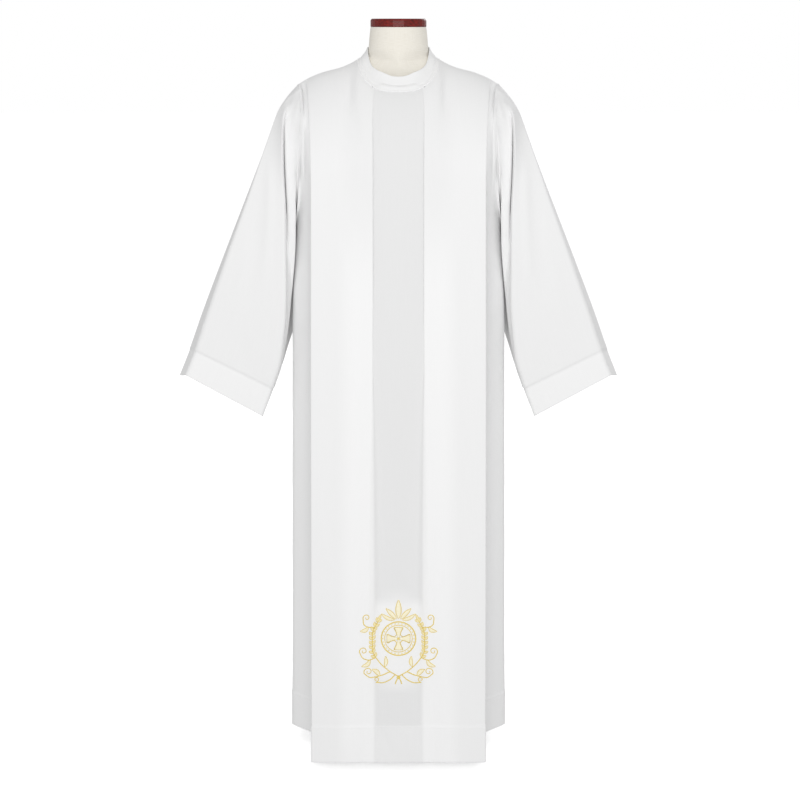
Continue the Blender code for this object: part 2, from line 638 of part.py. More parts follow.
def form_body(finish, home):
    """The linen-covered torso, closed below and at the neck."""
    first = FORM_LEVELS[0]
    rings = [level_ring(first[0] - FORM_FLOOR, first[1] * FORM_FLOOR_DRAW[0], first[2] * FORM_FLOOR_DRAW[1],
                        first[3])]
    levels = np.linspace(first[0], FORM_LEVELS[-1][0], FORM_ROWS)
    rings += [level_ring(z, *read_table(FORM_LEVELS, z)[0]) for z in levels]
    for x, half_depth, squareness in FORM_SHOULDER:
        half_width, z = under_shoulder(x)
        rings.append(level_ring(z, half_width, half_depth, squareness))
    rings += [level_ring(*row) for row in FORM_NECK]
    grid = np.array(rings)[::-1]
    obj = add_object("form_body", grid_mesh("form_body", grid, ring=True, caps=True), finish, home)
    smooth(obj)
    return obj


def turned(name, profile, finish, home, steps=32):
    """A solid of revolution about Z from its (radius, z) profile, which starts and ends at radius 0."""
    mesh = bpy.data.meshes.new(name)
    mesh.from_pydata([(r, 0, z) for r, z in profile], [(i, i + 1) for i in range(len(profile) - 1)], [])
    obj = add_object(name, mesh, finish, home)
    screw = obj.modifiers.new("turn", "SCREW")
    screw.steps = screw.render_steps = steps
    screw.use_merge_vertices = True
    screw.merge_threshold = MERGE
    screw.use_normal_calculate = True
    screw.use_smooth_shade = True
    return obj


def neck_cap(finish, home):
    low = FORM_NECK[-1][0] + SEAM_GAP
    top = low + CAP["height"]
    r, edge = CAP["half_width"], CAP["edge"]
    curve = [(r - edge * (1 - math.cos(a)), top - edge * (1 - math.sin(a)))
             for a in np.linspace(0, math.pi / 2, 5)]
    return turned("neck_cap", [(0, low), (r - 0.001, low), (r, low + 0.001), *curve, (0, top)], finish, home)


def stand(steel, home):
    floor = FORM_LEVELS[0][0] - FORM_FLOOR
    base = [(0, 0), (BASE_RADIUS - 0.002, 0), (BASE_RADIUS, 0.002), (BASE_RADIUS, BASE_HEIGHT - 0.004),
            (BASE_RADIUS - 0.004, BASE_HEIGHT), (SOCKET_RADIUS + 0.004, BASE_HEIGHT + 0.003),
            (SOCKET_RADIUS, BASE_HEIGHT + 0.008), (SOCKET_RADIUS, SOCKET_HEIGHT - 0.003),
            (SOCKET_RADIUS - 0.003, SOCKET_HEIGHT), (0, SOCKET_HEIGHT)]
    turned("stand_base", base, steel, home, 40)
    low, high = SOCKET_HEIGHT + SEAM_GAP, floor - FLANGE["thickness"] - 2 * SEAM_GAP
    bpy.ops.mesh.primitive_cylinder_add(vertices=24, radius=POLE_RADIUS, depth=high - low,
                                        location=(0, 0, (low + high) / 2))
    pole = bpy.context.object
    pole.name = pole.data.name = "stand_pole"
    bpy.ops.mesh.primitive_cylinder_add(vertices=32, radius=FLANGE["radius"], depth=FLANGE["thickness"],
                                        location=(0, 0, floor - SEAM_GAP - FLANGE["thickness"] / 2))
    flange = bpy.context.object
    flange.name = flange.data.name = "form_flange"
    for obj in (pole, flange):
        for other in list(obj.users_collection):
            other.objects.unlink(obj)
        home.objects.link(obj)
        obj.data.materials.append(steel)
        smooth(obj)


def main():
    for obj in list(bpy.data.objects):
        bpy.data.objects.remove(obj)
    home = new_collection("alb on dress form")
    white = material("white cloth", (0.86, 0.86, 0.86), 0.85)
    linen = material("cream linen", (0.80, 0.77, 0.69), 0.90)
    wood = material("red mahogany", (0.18, 0.016, 0.008), 0.25)
    steel = material("black painted steel", (0.02, 0.02, 0.02), 0.40)
    body_piece("front", FRONT_CUT, -1, white, home)
    body_piece("back", BACK_CUT, 1, white, home)
    sleeve("sleeve_left", 1, white, home)
    sleeve("sleeve_right", -1, white, home)
    collar(white, home)
    form_body(linen, home)
    neck_cap(wood, home)
    stand(steel, home)


main()
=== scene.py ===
"""A long white alb on a limbless dress form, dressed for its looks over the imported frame.

Metres, +Z up, the wearer facing -Y. Each piece of cloth is one thin sheet over its solid's form,
worked out from the same named sizes, with its pressed creases and soft folds.
"""

import math

import bpy
import numpy as np
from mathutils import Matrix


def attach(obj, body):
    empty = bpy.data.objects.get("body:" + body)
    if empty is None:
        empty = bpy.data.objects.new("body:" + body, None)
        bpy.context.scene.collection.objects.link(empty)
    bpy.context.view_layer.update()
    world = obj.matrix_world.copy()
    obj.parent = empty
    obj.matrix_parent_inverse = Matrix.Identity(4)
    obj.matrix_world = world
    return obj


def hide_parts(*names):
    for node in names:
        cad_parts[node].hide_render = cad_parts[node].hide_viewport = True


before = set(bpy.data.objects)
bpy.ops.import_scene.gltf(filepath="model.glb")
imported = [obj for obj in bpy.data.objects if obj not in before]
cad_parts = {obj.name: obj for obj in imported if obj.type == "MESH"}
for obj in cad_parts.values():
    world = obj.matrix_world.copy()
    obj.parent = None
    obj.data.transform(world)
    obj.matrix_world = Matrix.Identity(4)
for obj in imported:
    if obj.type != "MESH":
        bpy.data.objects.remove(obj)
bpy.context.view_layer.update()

# ==== sizes ====================================================================================
CLOTH = 0.0009              # wall of one layer of the alb
COLLAR_CLOTH = 0.0016       # wall of the doubled collar
SEAM_LAY = 0.0008           # width pressed flat beside a seam

HEM_Z = 0.020               # height of the hem's edge in front
SIDE_HEM_RISE = 0.010       # how much higher it is at the side seam
HEM_DEPTH = 0.081
CUFF_SHARE = 0.089          # depth of the cuff's hem, as a share of the sleeve's length

NECK_HALF_WIDTH = 0.087
NECK_SIDE_Z = 1.5362        # height of the neckline at the shoulder seam
NECK_SQUARENESS = 2.8       # power of its rounded outline; 2 is an ellipse
NECK_RISE = 1.6             # power by which it climbs from the centre to the side
FRONT_CUT = {"depth": 0.085, "z": 1.4706, "steep": 0.70, "side": 1.0}
BACK_CUT = {"depth": 0.078, "z": 1.5260, "steep": 0.45, "side": 0.1}
SHOULDER_LINE = (
    # x,     z
    (0.087, 1.5362),
    (0.104, 1.5268),
    (0.124, 1.5187),
    (0.162, 1.5086),
    (0.193, 1.4962),
    (0.215, 1.4832),
)
NECK_TURNS = (
    # share, degrees from the centre front or back
    (0.000, 0.0),
    (0.281, 33.0),
    (0.330, 47.0),
    (0.380, 60.0),
    (0.425, 72.0),
    (0.460, 81.5),
    (0.490, 90.0),
)
SHOULDER_CREASE_X = 0.193   # where the panel's pressed crease starts on the shoulder seam
CORNER_SHARE = 0.490        # the column that starts at the neck corner; the crease is column 1
CORNER_FAN = 0.030          # width beside the corner over which the cloth still spreads outwards
FAN = 0.7                   # how far outwards it leaves there, against forwards
FAN_POWER = 4               # how late round the neckline the spreading starts
FORWARD = 0.7               # how far forwards the cloth leaves the neckline
STEEP_POWER = 1.2           # how fast its steepness fades from the centre to the side
SLOPE_CLEAR = 0.003         # how far inside its ends the shoulder line's slope is read
ARMHOLE_LEAN = 45           # degrees by which the cloth leaves the armhole's top downwards
ARMHOLE = {"top_x": 0.215, "top_z": 1.4832, "front_x": 0.2085, "depth": 0.105, "pit_x": 0.229,
           "pit_z": 1.170, "top_slope": -0.56}

BODY_LEVELS = (
    # z,    half_depth, crease_x, seam_x, side_start, side_run, pleat_depth, pleat_soft, fold
    (0.00, 0.2110, 0.1912, 0.2446, 0.062, 0.055, -0.006, 0.026, 0.000),
    (0.10, 0.2060, 0.1908, 0.2437, 0.070, 0.055, 0.003, 0.024, 0.000),
    (0.22, 0.2000, 0.1905, 0.2412, 0.080, 0.055, 0.010, 0.020, 0.000),
    (0.50, 0.1860, 0.1892, 0.2375, 0.092, 0.055, 0.012, 0.014, 0.000),
    (0.80, 0.1710, 0.1876, 0.2336, 0.100, 0.055, 0.012, 0.008, 0.001),
    (0.92, 0.1650, 0.1868, 0.2318, 0.108, 0.060, 0.0125, 0.006, 0.003),
    (1.00, 0.1610, 0.1862, 0.2304, 0.118, 0.068, 0.013, 0.004, 0.004),
    (1.12, 0.1550, 0.1852, 0.2235, 0.125, 0.070, 0.014, 0.003, 0.006),
    (1.20, 0.1510, 0.1847, 0.2175, 0.130, 0.067, 0.014, 0.003, 0.006),
    (1.30, 0.1450, 0.1840, 0.2130, 0.145, 0.065, 0.014, 0.003, 0.006),
)
PLEAT_SHARE = 0.281         # the column in which the box pleat folds
PLEAT_START_DEPTH = 0.3     # share of its depth that it already has at the neckline
PLEAT_START_SOFT = 0.0040   # half its width there
PLEAT_TUCK = 0.0002         # how far it is tucked under the seam
PLEAT_PRESSED = 0.27        # share of its depth left where it is pressed flat, high up
PLEAT_PRESSED_FROM = 0.55
PLEAT_PRESSED_FADE = 0.40
SIDE_FULL_FROM = 1.02       # height over which the back's sides swell to the front's
SIDE_FULL_FADE = 0.23
SIDE_ROUNDING = 0.35        # how softly the side turns at the crease and at the seam
PANEL_BOW = 0.0045          # how far the flat panel bows forwards
PANEL_BOW_TOP = 1.350
PANEL_BOW_FADE = 0.500
CHEST_Z = 1.300             # height of the first level section, in the centre and at the side
SIDE_CHEST_Z = 1.060
ARMHOLE_Q = (0.985, 0.965, 0.735)   # share of the half depth from the crease round to the seam
ARMHOLE_Q_RISE = 0.7
LEAVE_PULL = 0.55           # how firmly the cloth leaves its seam and arrives at the chest
ARMHOLE_PULL = 0.20
ARRIVE_PULL = 1.10

OUTER_EDGE = (
    # share, x,     y,      z
    (0.08, 0.2460, 0.000, 1.4485),
    (0.20, 0.2745, 0.000, 1.3800),
    (0.40, 0.3276, 0.000, 1.2480),
    (0.60, 0.3813, 0.000, 1.1150),
    (0.80, 0.4328, 0.000, 0.9840),
    (0.90, 0.4592, 0.000, 0.9120),
    (1.00, 0.4855, 0.000, 0.8480),
)
FRONT_CREASE = (
    (0.08, 0.2445, -0.060, 1.4500),
    (0.20, 0.2725, -0.085, 1.3810),
    (0.40, 0.3186, -0.098, 1.2520),
    (0.60, 0.3673, -0.095, 1.1220),
    (0.80, 0.4138, -0.087, 0.9930),
    (0.90, 0.4387, -0.083, 0.9220),
    (1.00, 0.4635, -0.080, 0.8610),
)
FRONT_FOLD = (
    (0.08, 0.2405, -0.101, 1.4350),
    (0.20, 0.2448, -0.120, 1.3450),
    (0.40, 0.2402, -0.121, 1.2050),
    (0.60, 0.2405, -0.114, 1.0500),
    (0.80, 0.2530, -0.100, 0.9080),
    (0.90, 0.2720, -0.090, 0.8400),
    (1.00, 0.2965, -0.080, 0.7690),
)
UNDER_FOLD = (
    (0.08, 0.2378, -0.1025, 1.4285),
    (0.20, 0.2420, -0.0900, 1.3380),
    (0.40, 0.2390, -0.0900, 1.1990),
    (0.60, 0.2405, -0.0880, 1.0460),
    (0.80, 0.2522, -0.0800, 0.9050),
    (0.90, 0.2715, -0.0720, 0.8380),
    (1.00, 0.2967, -0.0640, 0.7685),
)
STRIP_OUTER = (
    (0.08, 0.2350, -0.1035, 1.4220),
    (0.20, 0.2368, -0.1060, 1.3300),
    (0.40, 0.2330, -0.0965, 1.1910),
    (0.60, 0.2345, -0.0680, 1.0380),
    (0.80, 0.2522, -0.0580, 0.8990),
    (0.90, 0.2717, -0.0540, 0.8350),
    (1.00, 0.2968, -0.0480, 0.7680),
)
STRIP_INNER = (
    (0.08, 0.2165, -0.1045, 1.3300),
    (0.20, 0.2185, -0.1020, 1.2620),
    (0.40, 0.2205, -0.0910, 1.1600),
    (0.60, 0.2335, -0.0550, 1.0260),
    (0.80, 0.2530, -0.0380, 0.8910),
    (0.90, 0.2722, -0.0360, 0.8310),
    (1.00, 0.2970, -0.0320, 0.7670),
)
SIDE_GAP = (
    (0.08, 0.2200, -0.098, 1.2660),
    (0.20, 0.2240, -0.088, 1.2050),
    (0.40, 0.2300, -0.060, 1.1200),
    (0.60, 0.2405, -0.034, 1.0030),
    (0.80, 0.2560, -0.018, 0.8830),
    (0.90, 0.2740, -0.018, 0.8270),
    (1.00, 0.2971, -0.016, 0.7665),
)
UNDERARM = (
    (0.08, 0.2385, 0.003, 1.1500),
    (0.20, 0.2425, 0.008, 1.1000),
    (0.40, 0.2440, 0.010, 1.0400),
    (0.60, 0.2450, 0.010, 0.9670),
    (0.80, 0.2620, 0.008, 0.8750),
    (0.90, 0.2780, 0.004, 0.8220),
    (1.00, 0.2973, 0.000, 0.7660),
)
BACK_LINES = (
    # share, depth ratio, inward shift of the folds
    (0.00, 1.000, 0.0000),
    (0.08, 1.000, -0.0006),
    (0.20, 1.000, -0.0006),
    (0.40, 0.950, 0.0060),
    (0.60, 0.800, 0.0140),
    (0.70, 0.740, 0.0165),
    (0.80, 0.690, 0.0020),
    (0.90, 0.650, -0.0060),
    (1.00, 0.620, 0.0000),
)
SHIFT_DEPTH = 0.090         # depth at which the inward shift is full
ARMHOLE_TURNS = (0.0, 0.34, 0.647, 0.78, 0.92, 1.45, 1.90, math.pi)   # where each line starts
LINE_SHARP = (0, 1, 1, 0, 0, 0, 0, 0)   # 1 where the line is a pressed crease
LINE_CUTS = (8, 22, 4, 4, 8, 4, 14)     # columns from each line to the next
LAY_SHARE = 0.006           # share of the length over which the sleeve leaves its seam

COLLAR_LEAVE = (36, 45)     # degrees above level at which it leaves the seam, sides and front
COLLAR_ARRIVE = 76          # the same at its top edge
COLLAR_LINE = (             # a crease pressed round the collar; share of its height
    # degrees from the centre front, share
    (0, 0.46),
    (22, 0.46),
    (34, 0.16),
    (60, 0.30),
    (90, 0.24),
    (180, 0.40),
)
COLLAR_EDGE = (             # how far its top edge has dropped; share of the drop from side to front
    # degrees from the centre, share
    (0, 1.000),
    (10, 0.985),
    (25, 0.880),
    (52, 0.650),
    (76, 0.200),
    (90, 0.000),
)
COLLAR_TOP = {"half_width": 0.0668, "front": 0.0655, "back": 0.0660, "front_z": 1.5010,
              "side_z": 1.5620, "back_z": 1.5600, "squareness": 2.5}

FORM_LEVELS = (
    # z,    half_width, half_depth, squareness
    (0.800, 0.172, 0.112, 2.3),
    (0.880, 0.176, 0.118, 2.3),
    (0.980, 0.163, 0.112, 2.3),
    (1.080, 0.150, 0.103, 2.3),
    (1.180, 0.162, 0.112, 2.4),
    (1.280, 0.180, 0.114, 2.5),
    (1.380, 0.192, 0.100, 2.4),
    (1.440, 0.197, 0.084, 2.2),
)
FORM_SHOULDER = (
    # x,    half_depth, squareness
    (0.200, 0.056, 1.60),
    (0.188, 0.055, 1.40),
    (0.172, 0.055, 1.30),
    (0.150, 0.056, 1.25),
    (0.126, 0.0575, 1.22),
    (0.106, 0.059, 1.20),
    (0.090, 0.060, 1.20),
)
FORM_UNDER_CLOTH = 0.0018   # how far below the shoulder line the form lies
FORM_NECK = (
    # z,    half_width, half_depth, squareness
    (1.5460, 0.0665, 0.0605, 1.6),
    (1.5600, 0.0640, 0.0610, 2.0),
    (1.5850, 0.0618, 0.0608, 2.0),
    (1.6034, 0.0596, 0.0598, 2.0),
)
FORM_FLOOR = (              # the rounded rim below the form's lowest level
    # drop, share of its half width and of its half depth
    (0.006, 0.940, 0.910),
    (0.004, 0.985, 0.975),
)

ONE_LAYER_AND_PAINTED_SHADE = "#E9E9E9"       # the alb's colour where one layer hangs free, and painted shade where the tone is drawn down to it
TWO_LAYERS_AND_PAINTED_LIGHT = "#F7F7F7"      # and where two lie together, and painted light on the body's sides
UP = np.array((0.0, 0.0, 1.0))


# ==== curves and tables =========================================================================
def steady_slopes(x, y):
    """Slopes of a monotone cubic through (x, y): it never overshoots the rows it joins."""
    h = np.diff(x)[:, None]
    d = np.diff(y, axis=0) / h
    slopes = np.empty_like(y)
    slopes[0], slopes[-1] = d[0], d[-1]
    same_way = d[:-1] * d[1:] > 0
    w0, w1 = 2 * h[1:] + h[:-1], h[1:] + 2 * h[:-1]
    below = np.where(same_way, w0 * d[1:] + w1 * d[:-1], 1.0)
    slopes[1:-1] = np.where(same_way, (w0 + w1) * d[:-1] * d[1:] / below, 0.0)
    return slopes


def read_table(table, at):
    """Columns of a table at any array of places, by a steady cubic along its first column.
    Result: at's shape x columns."""
    rows = np.array(table, float)
    x, y = rows[:, 0], rows[:, 1:]
    slopes = steady_slopes(x, y)
    at = np.clip(np.asarray(at, float), x[0], x[-1])
    i = np.clip(np.searchsorted(x, at, side="right") - 1, 0, len(x) - 2)
    h = (x[i + 1] - x[i])[..., None]
    t = (at - x[i])[..., None] / h
    return hermite(y[i], slopes[i] * h, y[i + 1], slopes[i + 1] * h, t)


def hermite(start, leave, end, arrive, t):
    """The cubic from start to end that leaves and arrives the given ways, for t of 0 to 1:
    start (1+2t)(1-t)^2 + leave t(1-t)^2 + end t^2(3-2t) + arrive t^2(t-1)."""
    return (start * (1 + 2 * t) * (1 - t) ** 2 + leave * t * (1 - t) ** 2
            + end * t * t * (3 - 2 * t) + arrive * t * t * (t - 1))


def unit(vectors):
    return vectors / np.linalg.norm(vectors, axis=-1, keepdims=True)


def ease(t):
    """0 below 0, 1 above 1 and t^2(3-2t) between."""
    t = np.clip(t, 0.0, 1.0)
    return t * t * (3 - 2 * t)


def grid_normals(grid, ring=False):
    """Unit normals of a grid of points: the cross product of its slopes down and across."""
    if ring:
        across = np.roll(grid, -1, axis=1) - np.roll(grid, 1, axis=1)
    else:
        across = np.gradient(grid, axis=1)
    return unit(np.cross(np.gradient(grid, axis=0), across) + (0, 0, 1e-12))


def folds(a, b, table):
    """Height of soft folds at places (a, b). Each row of the table is a line from (a0, b0) to
    (a1, b1), bent sideways by bend at its middle; the fold's height there is
    height * exp(-(distance / width)^2), eased in and out over the share 'fade' of its length."""
    total = np.zeros(np.broadcast(a, b).shape)
    for a0, b0, a1, b1, bend, width, height, fade in table:
        length = math.hypot(a1 - a0, b1 - b0)
        ua, ub = (a1 - a0) / length, (b1 - b0) / length
        t = ((a - a0) * ua + (b - b0) * ub) / length
        off = (a - a0) * -ub + (b - b0) * ua - bend * 4 * t * (1 - t)
        total += height * np.exp(-(off / width) ** 2) * ease(t / fade) * ease((1 - t) / fade)
    return total


def distance_along(path):
    """The distance from a path's start at each of its points."""
    return np.concatenate([[0], np.cumsum(np.linalg.norm(np.diff(path, axis=0), axis=1))])


def round_turns(count):
    """count angles, evenly round a circle."""
    return np.arange(count) / count * 2 * math.pi


def values_at(at, known, values):
    """Each column of values read at any places: straight between the known ones."""
    return np.stack([np.interp(at, known, column) for column in np.transpose(values)], axis=-1)


def wrapped(grid, ring):
    """The grid with its first column once more after the last, if it runs right round."""
    return np.hstack([grid, grid[:, :1]]) if ring else grid


# ==== meshes ====================================================================================
def corners_of(grid):
    """The four corners of each cell of a grid: cells x 4 x the shape of what the grid holds."""
    corners = np.stack([grid[:-1, :-1], grid[1:, :-1], grid[1:, 1:], grid[:-1, 1:]], axis=2)
    return corners.reshape(-1, 4, *grid.shape[2:])


def surface(name, points, faces, finish, uv=None, values=None):
    """One piece: its points, its four-sided faces, its material, the place of each corner on the
    cut cloth in metres, and named values per point that materials read."""
    mesh = bpy.data.meshes.new(name)
    mesh.vertices.add(len(points))
    mesh.vertices.foreach_set("co", points.astype(np.float32).ravel())
    mesh.loops.add(faces.size)
    mesh.loops.foreach_set("vertex_index", faces.astype(np.int32).ravel())
    mesh.polygons.add(len(faces))
    starts = np.arange(0, faces.size, faces.shape[1], dtype=np.int32)
    mesh.polygons.foreach_set("loop_start", starts)
    mesh.update(calc_edges=True)
    if uv is not None:
        layer = mesh.uv_layers.new(name="cut")
        layer.data.foreach_set("uv", uv.astype(np.float32).ravel())
    for key, value in (values or {}).items():
        attribute = mesh.attributes.new(key, "FLOAT", "POINT")
        attribute.data.foreach_set("value", value.astype(np.float32).ravel())
    mesh.shade_smooth()
    mesh.validate()
    mesh.materials.append(finish)
    obj = bpy.data.objects.new(name, mesh)
    bpy.context.scene.collection.objects.link(obj)
    return obj


def steps_of(grid):
    """The distances from point to point of a grid, across its columns and down its rows."""
    return [np.linalg.norm(np.diff(grid, axis=axis), axis=2) for axis in (1, 0)]


def sheet_grid(name, grid, finish, ring=False, values=None, wall=None):
    """A sheet of cloth over a grid of points. Its UV is the place on the flat cut: the mean
    distance across its columns, and the mean distance down its rows."""
    across, down = (np.concatenate([[0], np.cumsum(steps.mean(axis=axis))])
                    for axis, steps in enumerate(steps_of(wrapped(grid, ring))))
    cut = np.stack(np.broadcast_arrays(across[None], -down[:, None]), axis=-1)
    index = np.arange(grid[..., 0].size).reshape(grid.shape[:2])
    obj = surface(name, grid.reshape(-1, 3), corners_of(wrapped(index, ring)), finish,
                  corners_of(cut), values)
    if wall:
        solid = obj.modifiers.new("cloth wall", "SOLIDIFY")
        solid.offset = -1.0
        solid.thickness = wall
    return obj


def flat_size(grid, ring=False):
    """Width, length and area of the sheet's cut, measured over its grid."""
    wide = wrapped(grid, ring)
    across, down = steps_of(wide)
    cross = np.cross(wide[1:, 1:] - wide[:-1, :-1], wide[1:, :-1] - wide[:-1, 1:])
    return (float(across.sum(axis=1).max()), float(down.sum(axis=0).max()),
            float(np.linalg.norm(cross, axis=2).sum() / 2))


# ==== materials =================================================================================
def linear(hex_code):
    """sRGB hex to a linear colour."""
    value = np.array([int(hex_code[i:i + 2], 16) / 255 for i in (1, 3, 5)])
    value = np.where(value <= 0.04045, value / 12.92, ((value + 0.055) / 1.055) ** 2.4)
    return (*value.tolist(), 1.0)


def add(tree, kind, inputs=None, **settings):
    """Adds a node: settings are its properties, inputs its sockets' values or links."""
    made = tree.nodes.new(kind)
    for key, value in settings.items():
        setattr(made, key, value)
    for key, value in (inputs or {}).items():
        if isinstance(value, bpy.types.NodeSocket):
            tree.links.new(value, made.inputs[key])
        else:
            made.inputs[key].default_value = value
    return made


def new_material(name, **shader_values):
    made = bpy.data.materials.new(name)
    made.use_nodes = True
    tree = made.node_tree
    shader = tree.nodes["Principled BSDF"]
    for key, value in shader_values.items():
        shader.inputs[key.replace("_", " ")].default_value = value
    return made, tree, shader


def sum_of(tree, operation, *values):
    """The result of one sum on up to three numbers or links."""
    return add(tree, "ShaderNodeMath", dict(enumerate(values)), operation=operation).outputs[0]


def blend(tree, share, first, second, how="MIX"):
    """A colour between two, or the first one times the second."""
    return add(tree, "ShaderNodeMix", {0: share, 6: first, 7: second}, data_type="RGBA",
               blend_type=how).outputs[2]


def carried(tree, value, low, high, to_low=0.0, to_high=1.0):
    """A value of low to high carried over to another range, and held inside it."""
    return add(tree, "ShaderNodeMapRange",
               {0: value, 1: low, 2: high, 3: to_low, 4: to_high}).outputs[0]


def cut_place(tree):
    """The place on the flat cut, in metres."""
    return add(tree, "ShaderNodeUVMap", uv_map="cut").outputs[0]


def object_place(tree):
    return add(tree, "ShaderNodeTexCoord").outputs["Object"]


def thread_wave(tree, value, pitch):
    """sin(2 pi value / pitch)."""
    return sum_of(tree, "SINE", sum_of(tree, "MULTIPLY", value, 2 * math.pi / pitch))


def plain_weave(tree, place, pitch):
    """Height of a plain weave, 0 to 1: sin(2 pi u / pitch) sin(2 pi v / pitch), so each thread
    rises over one neighbour and dips under the next."""
    parts = add(tree, "ShaderNodeSeparateXYZ", {0: place}).outputs
    waves = [thread_wave(tree, parts[axis], pitch) for axis in (0, 1)]
    return sum_of(tree, "MULTIPLY_ADD", sum_of(tree, "MULTIPLY", *waves), 0.5, 0.5)


def noise(tree, place, scale, detail=2.0, roughness=0.5):
    """Noise whose grains measure 1 / scale metres along each axis."""
    spread = add(tree, "ShaderNodeVectorMath", {0: place, 1: scale}, operation="MULTIPLY")
    return add(tree, "ShaderNodeTexNoise", {"Vector": spread.outputs[0], "Scale": 1.0,
                                            "Detail": detail, "Roughness": roughness}).outputs[0]


def bump(tree, height, distance, strength=1.0, under=None):
    inputs = {"Height": height, "Distance": distance, "Strength": strength}
    if under is not None:
        inputs["Normal"] = under
    return add(tree, "ShaderNodeBump", inputs).outputs[0]


def dress(tree, shader, colour, normal=None):
    tree.links.new(colour, shader.inputs["Base Color"])
    if normal is not None:
        tree.links.new(normal, shader.inputs["Normal"])


def alb_cloth():
    """White polyester and cotton, plain woven, pressed: matt, with a very soft sheen. One layer is
    a little grey, because the dark inside of the garment shows through it, and two are whiter.
    The same grey is also painted shade in the set-back recess, beside the neck and beside the
    armpit, and the whiter tone is painted light on the body's sides."""
    made, tree, shader = new_material("white polyester-cotton plain weave", Roughness=0.82,
                                      Sheen_Weight=0.12, Sheen_Roughness=0.4, IOR=1.45,
                                      Specular_IOR_Level=0.30)
    place = cut_place(tree)
    doubling_and_shade = add(tree, "ShaderNodeAttribute", attribute_name="doubling_and_shade").outputs["Fac"]
    slub = noise(tree, place, (900, 14, 1), 3.0)    # long thin streaks of thicker yarn
    # one layer's grey and two layers' white; the same mix paints shade in the recess, beside the
    # neck and beside the armpit, and light on the sides
    body = blend(tree, doubling_and_shade, linear(ONE_LAYER_AND_PAINTED_SHADE), linear(TWO_LAYERS_AND_PAINTED_LIGHT))
    streaks = carried(tree, slub, 0.3, 0.7, 0.985, 1.0)
    # threads 0.35 mm apart, drawn 0.9 mm apart so that they can be seen in a close view
    weave = bump(tree, plain_weave(tree, place, 0.0018), 0.00006)
    loose = bump(tree, noise(tree, place, (26, 9, 1), 2.0), 0.0006, 0.5, weave)
    dress(tree, shader, blend(tree, 1.0, body, streaks, "MULTIPLY"),
          bump(tree, slub, 0.00010, 0.5, loose))
    return made


def sewing_thread():
    """White spun polyester thread, slightly glossier than the cloth."""
    made, tree, shader = new_material("white spun thread", Roughness=0.55, Sheen_Weight=0.2)
    fibre = noise(tree, object_place(tree), (700, 700, 700))
    tone = carried(tree, fibre, 0.0, 1.0, 0.88, 1.0)
    dress(tree, shader, blend(tree, 1.0, linear("#F2F2F2"), tone, "MULTIPLY"))
    return made


def form_linen():
    """Cream linen glued over the form: coarser, with slubs of uneven yarn, matt."""
    made, tree, shader = new_material("cream linen cover", Roughness=0.9, Sheen_Weight=0.1)
    place = cut_place(tree)
    slubs = [noise(tree, place, way, 3.0) for way in ((1100, 30, 1), (30, 1100, 1))]
    both = sum_of(tree, "ADD", *slubs)
    tone = carried(tree, both, 0.7, 1.3)
    # yarns 0.6 mm apart, drawn 1 mm apart
    weave = bump(tree, plain_weave(tree, place, 0.0020), 0.00006)
    dress(tree, shader, blend(tree, tone, linear("#E9E4D8"), linear("#F4F0E7")),
          bump(tree, both, 0.00010, 0.5, weave))
    return made


def mahogany():
    """Red mahogany, turned and varnished: brown-red grain under a clear glossy coat."""
    made, tree, shader = new_material("varnished red mahogany", Roughness=0.50, Coat_Weight=0.10,
                                      Coat_Roughness=0.15, IOR=1.5, Specular_IOR_Level=0.25)
    place = object_place(tree)
    grain = noise(tree, place, (14, 320, 320), 4.0, 0.6)
    pores = noise(tree, place, (60, 1800, 1800), 2.0)
    tone = add(tree, "ShaderNodeValToRGB", {0: grain})
    ramp = tone.color_ramp.elements
    ramp[0].position, ramp[0].color = 0.32, linear("#4A0A05")
    ramp[1].position, ramp[1].color = 0.70, linear("#80180E")
    dress(tree, shader, tone.outputs[0], bump(tree, pores, 0.00004, 0.5))
    return made


def black_steel():
    """Steel, powder coated black: an even satin film with a fine orange-peel surface."""
    made, tree, shader = new_material("black powder-coated steel", Roughness=0.42, IOR=1.5)
    peel = noise(tree, object_place(tree), (520, 520, 520), 2.0)
    dress(tree, shader, blend(tree, peel, linear("#141414"), linear("#222222")),
          bump(tree, peel, 0.00008, 0.6))
    return made


def satin_stitch(name, dark, light, pitch=0.0009):
    """Rayon embroidery thread laid side by side across each stroke, soft gloss along the threads.
    Threads lie 0.4 mm apart and are drawn 0.9 mm apart. Each thread's crown is painted lighter and
    the groove between threads darker, as painted highlight and shade, over a tone that varies at
    random."""
    made, tree, shader = new_material(name, Roughness=0.38, Sheen_Weight=0.15,
                                      Specular_IOR_Level=0.5)
    place = cut_place(tree)
    along = add(tree, "ShaderNodeSeparateXYZ", {0: place}).outputs[0]
    thread = sum_of(tree, "MULTIPLY_ADD", thread_wave(tree, along, pitch), 0.5, 0.5)
    uneven = noise(tree, place, (400, 90, 1), 2.0)
    # painted highlight on each thread's crown and painted shade between threads, mixed with random
    # tone
    tone = carried(tree, sum_of(tree, "MULTIPLY_ADD", thread, 0.55, uneven), 0.35, 1.05)
    dress(tree, shader, blend(tree, tone, linear(dark), linear(light)),
          bump(tree, thread, 0.00015, 0.8))
    return made


# ==== body ======================================================================================
def armhole_point(turn):
    """A point of the armhole's front half; turn is 0 at the shoulder and pi at the armpit."""
    down = (1 - np.cos(turn)) / 2
    x = ARMHOLE["top_x"] + (ARMHOLE["pit_x"] - ARMHOLE["top_x"]) * down
    x = x + (ARMHOLE["front_x"] - (ARMHOLE["top_x"] + ARMHOLE["pit_x"]) / 2) * np.sin(turn)
    z = ARMHOLE["top_z"] + (ARMHOLE["pit_z"] - ARMHOLE["top_z"]) * down
    return np.stack([x, -ARMHOLE["depth"] * np.sin(turn), z], axis=-1)


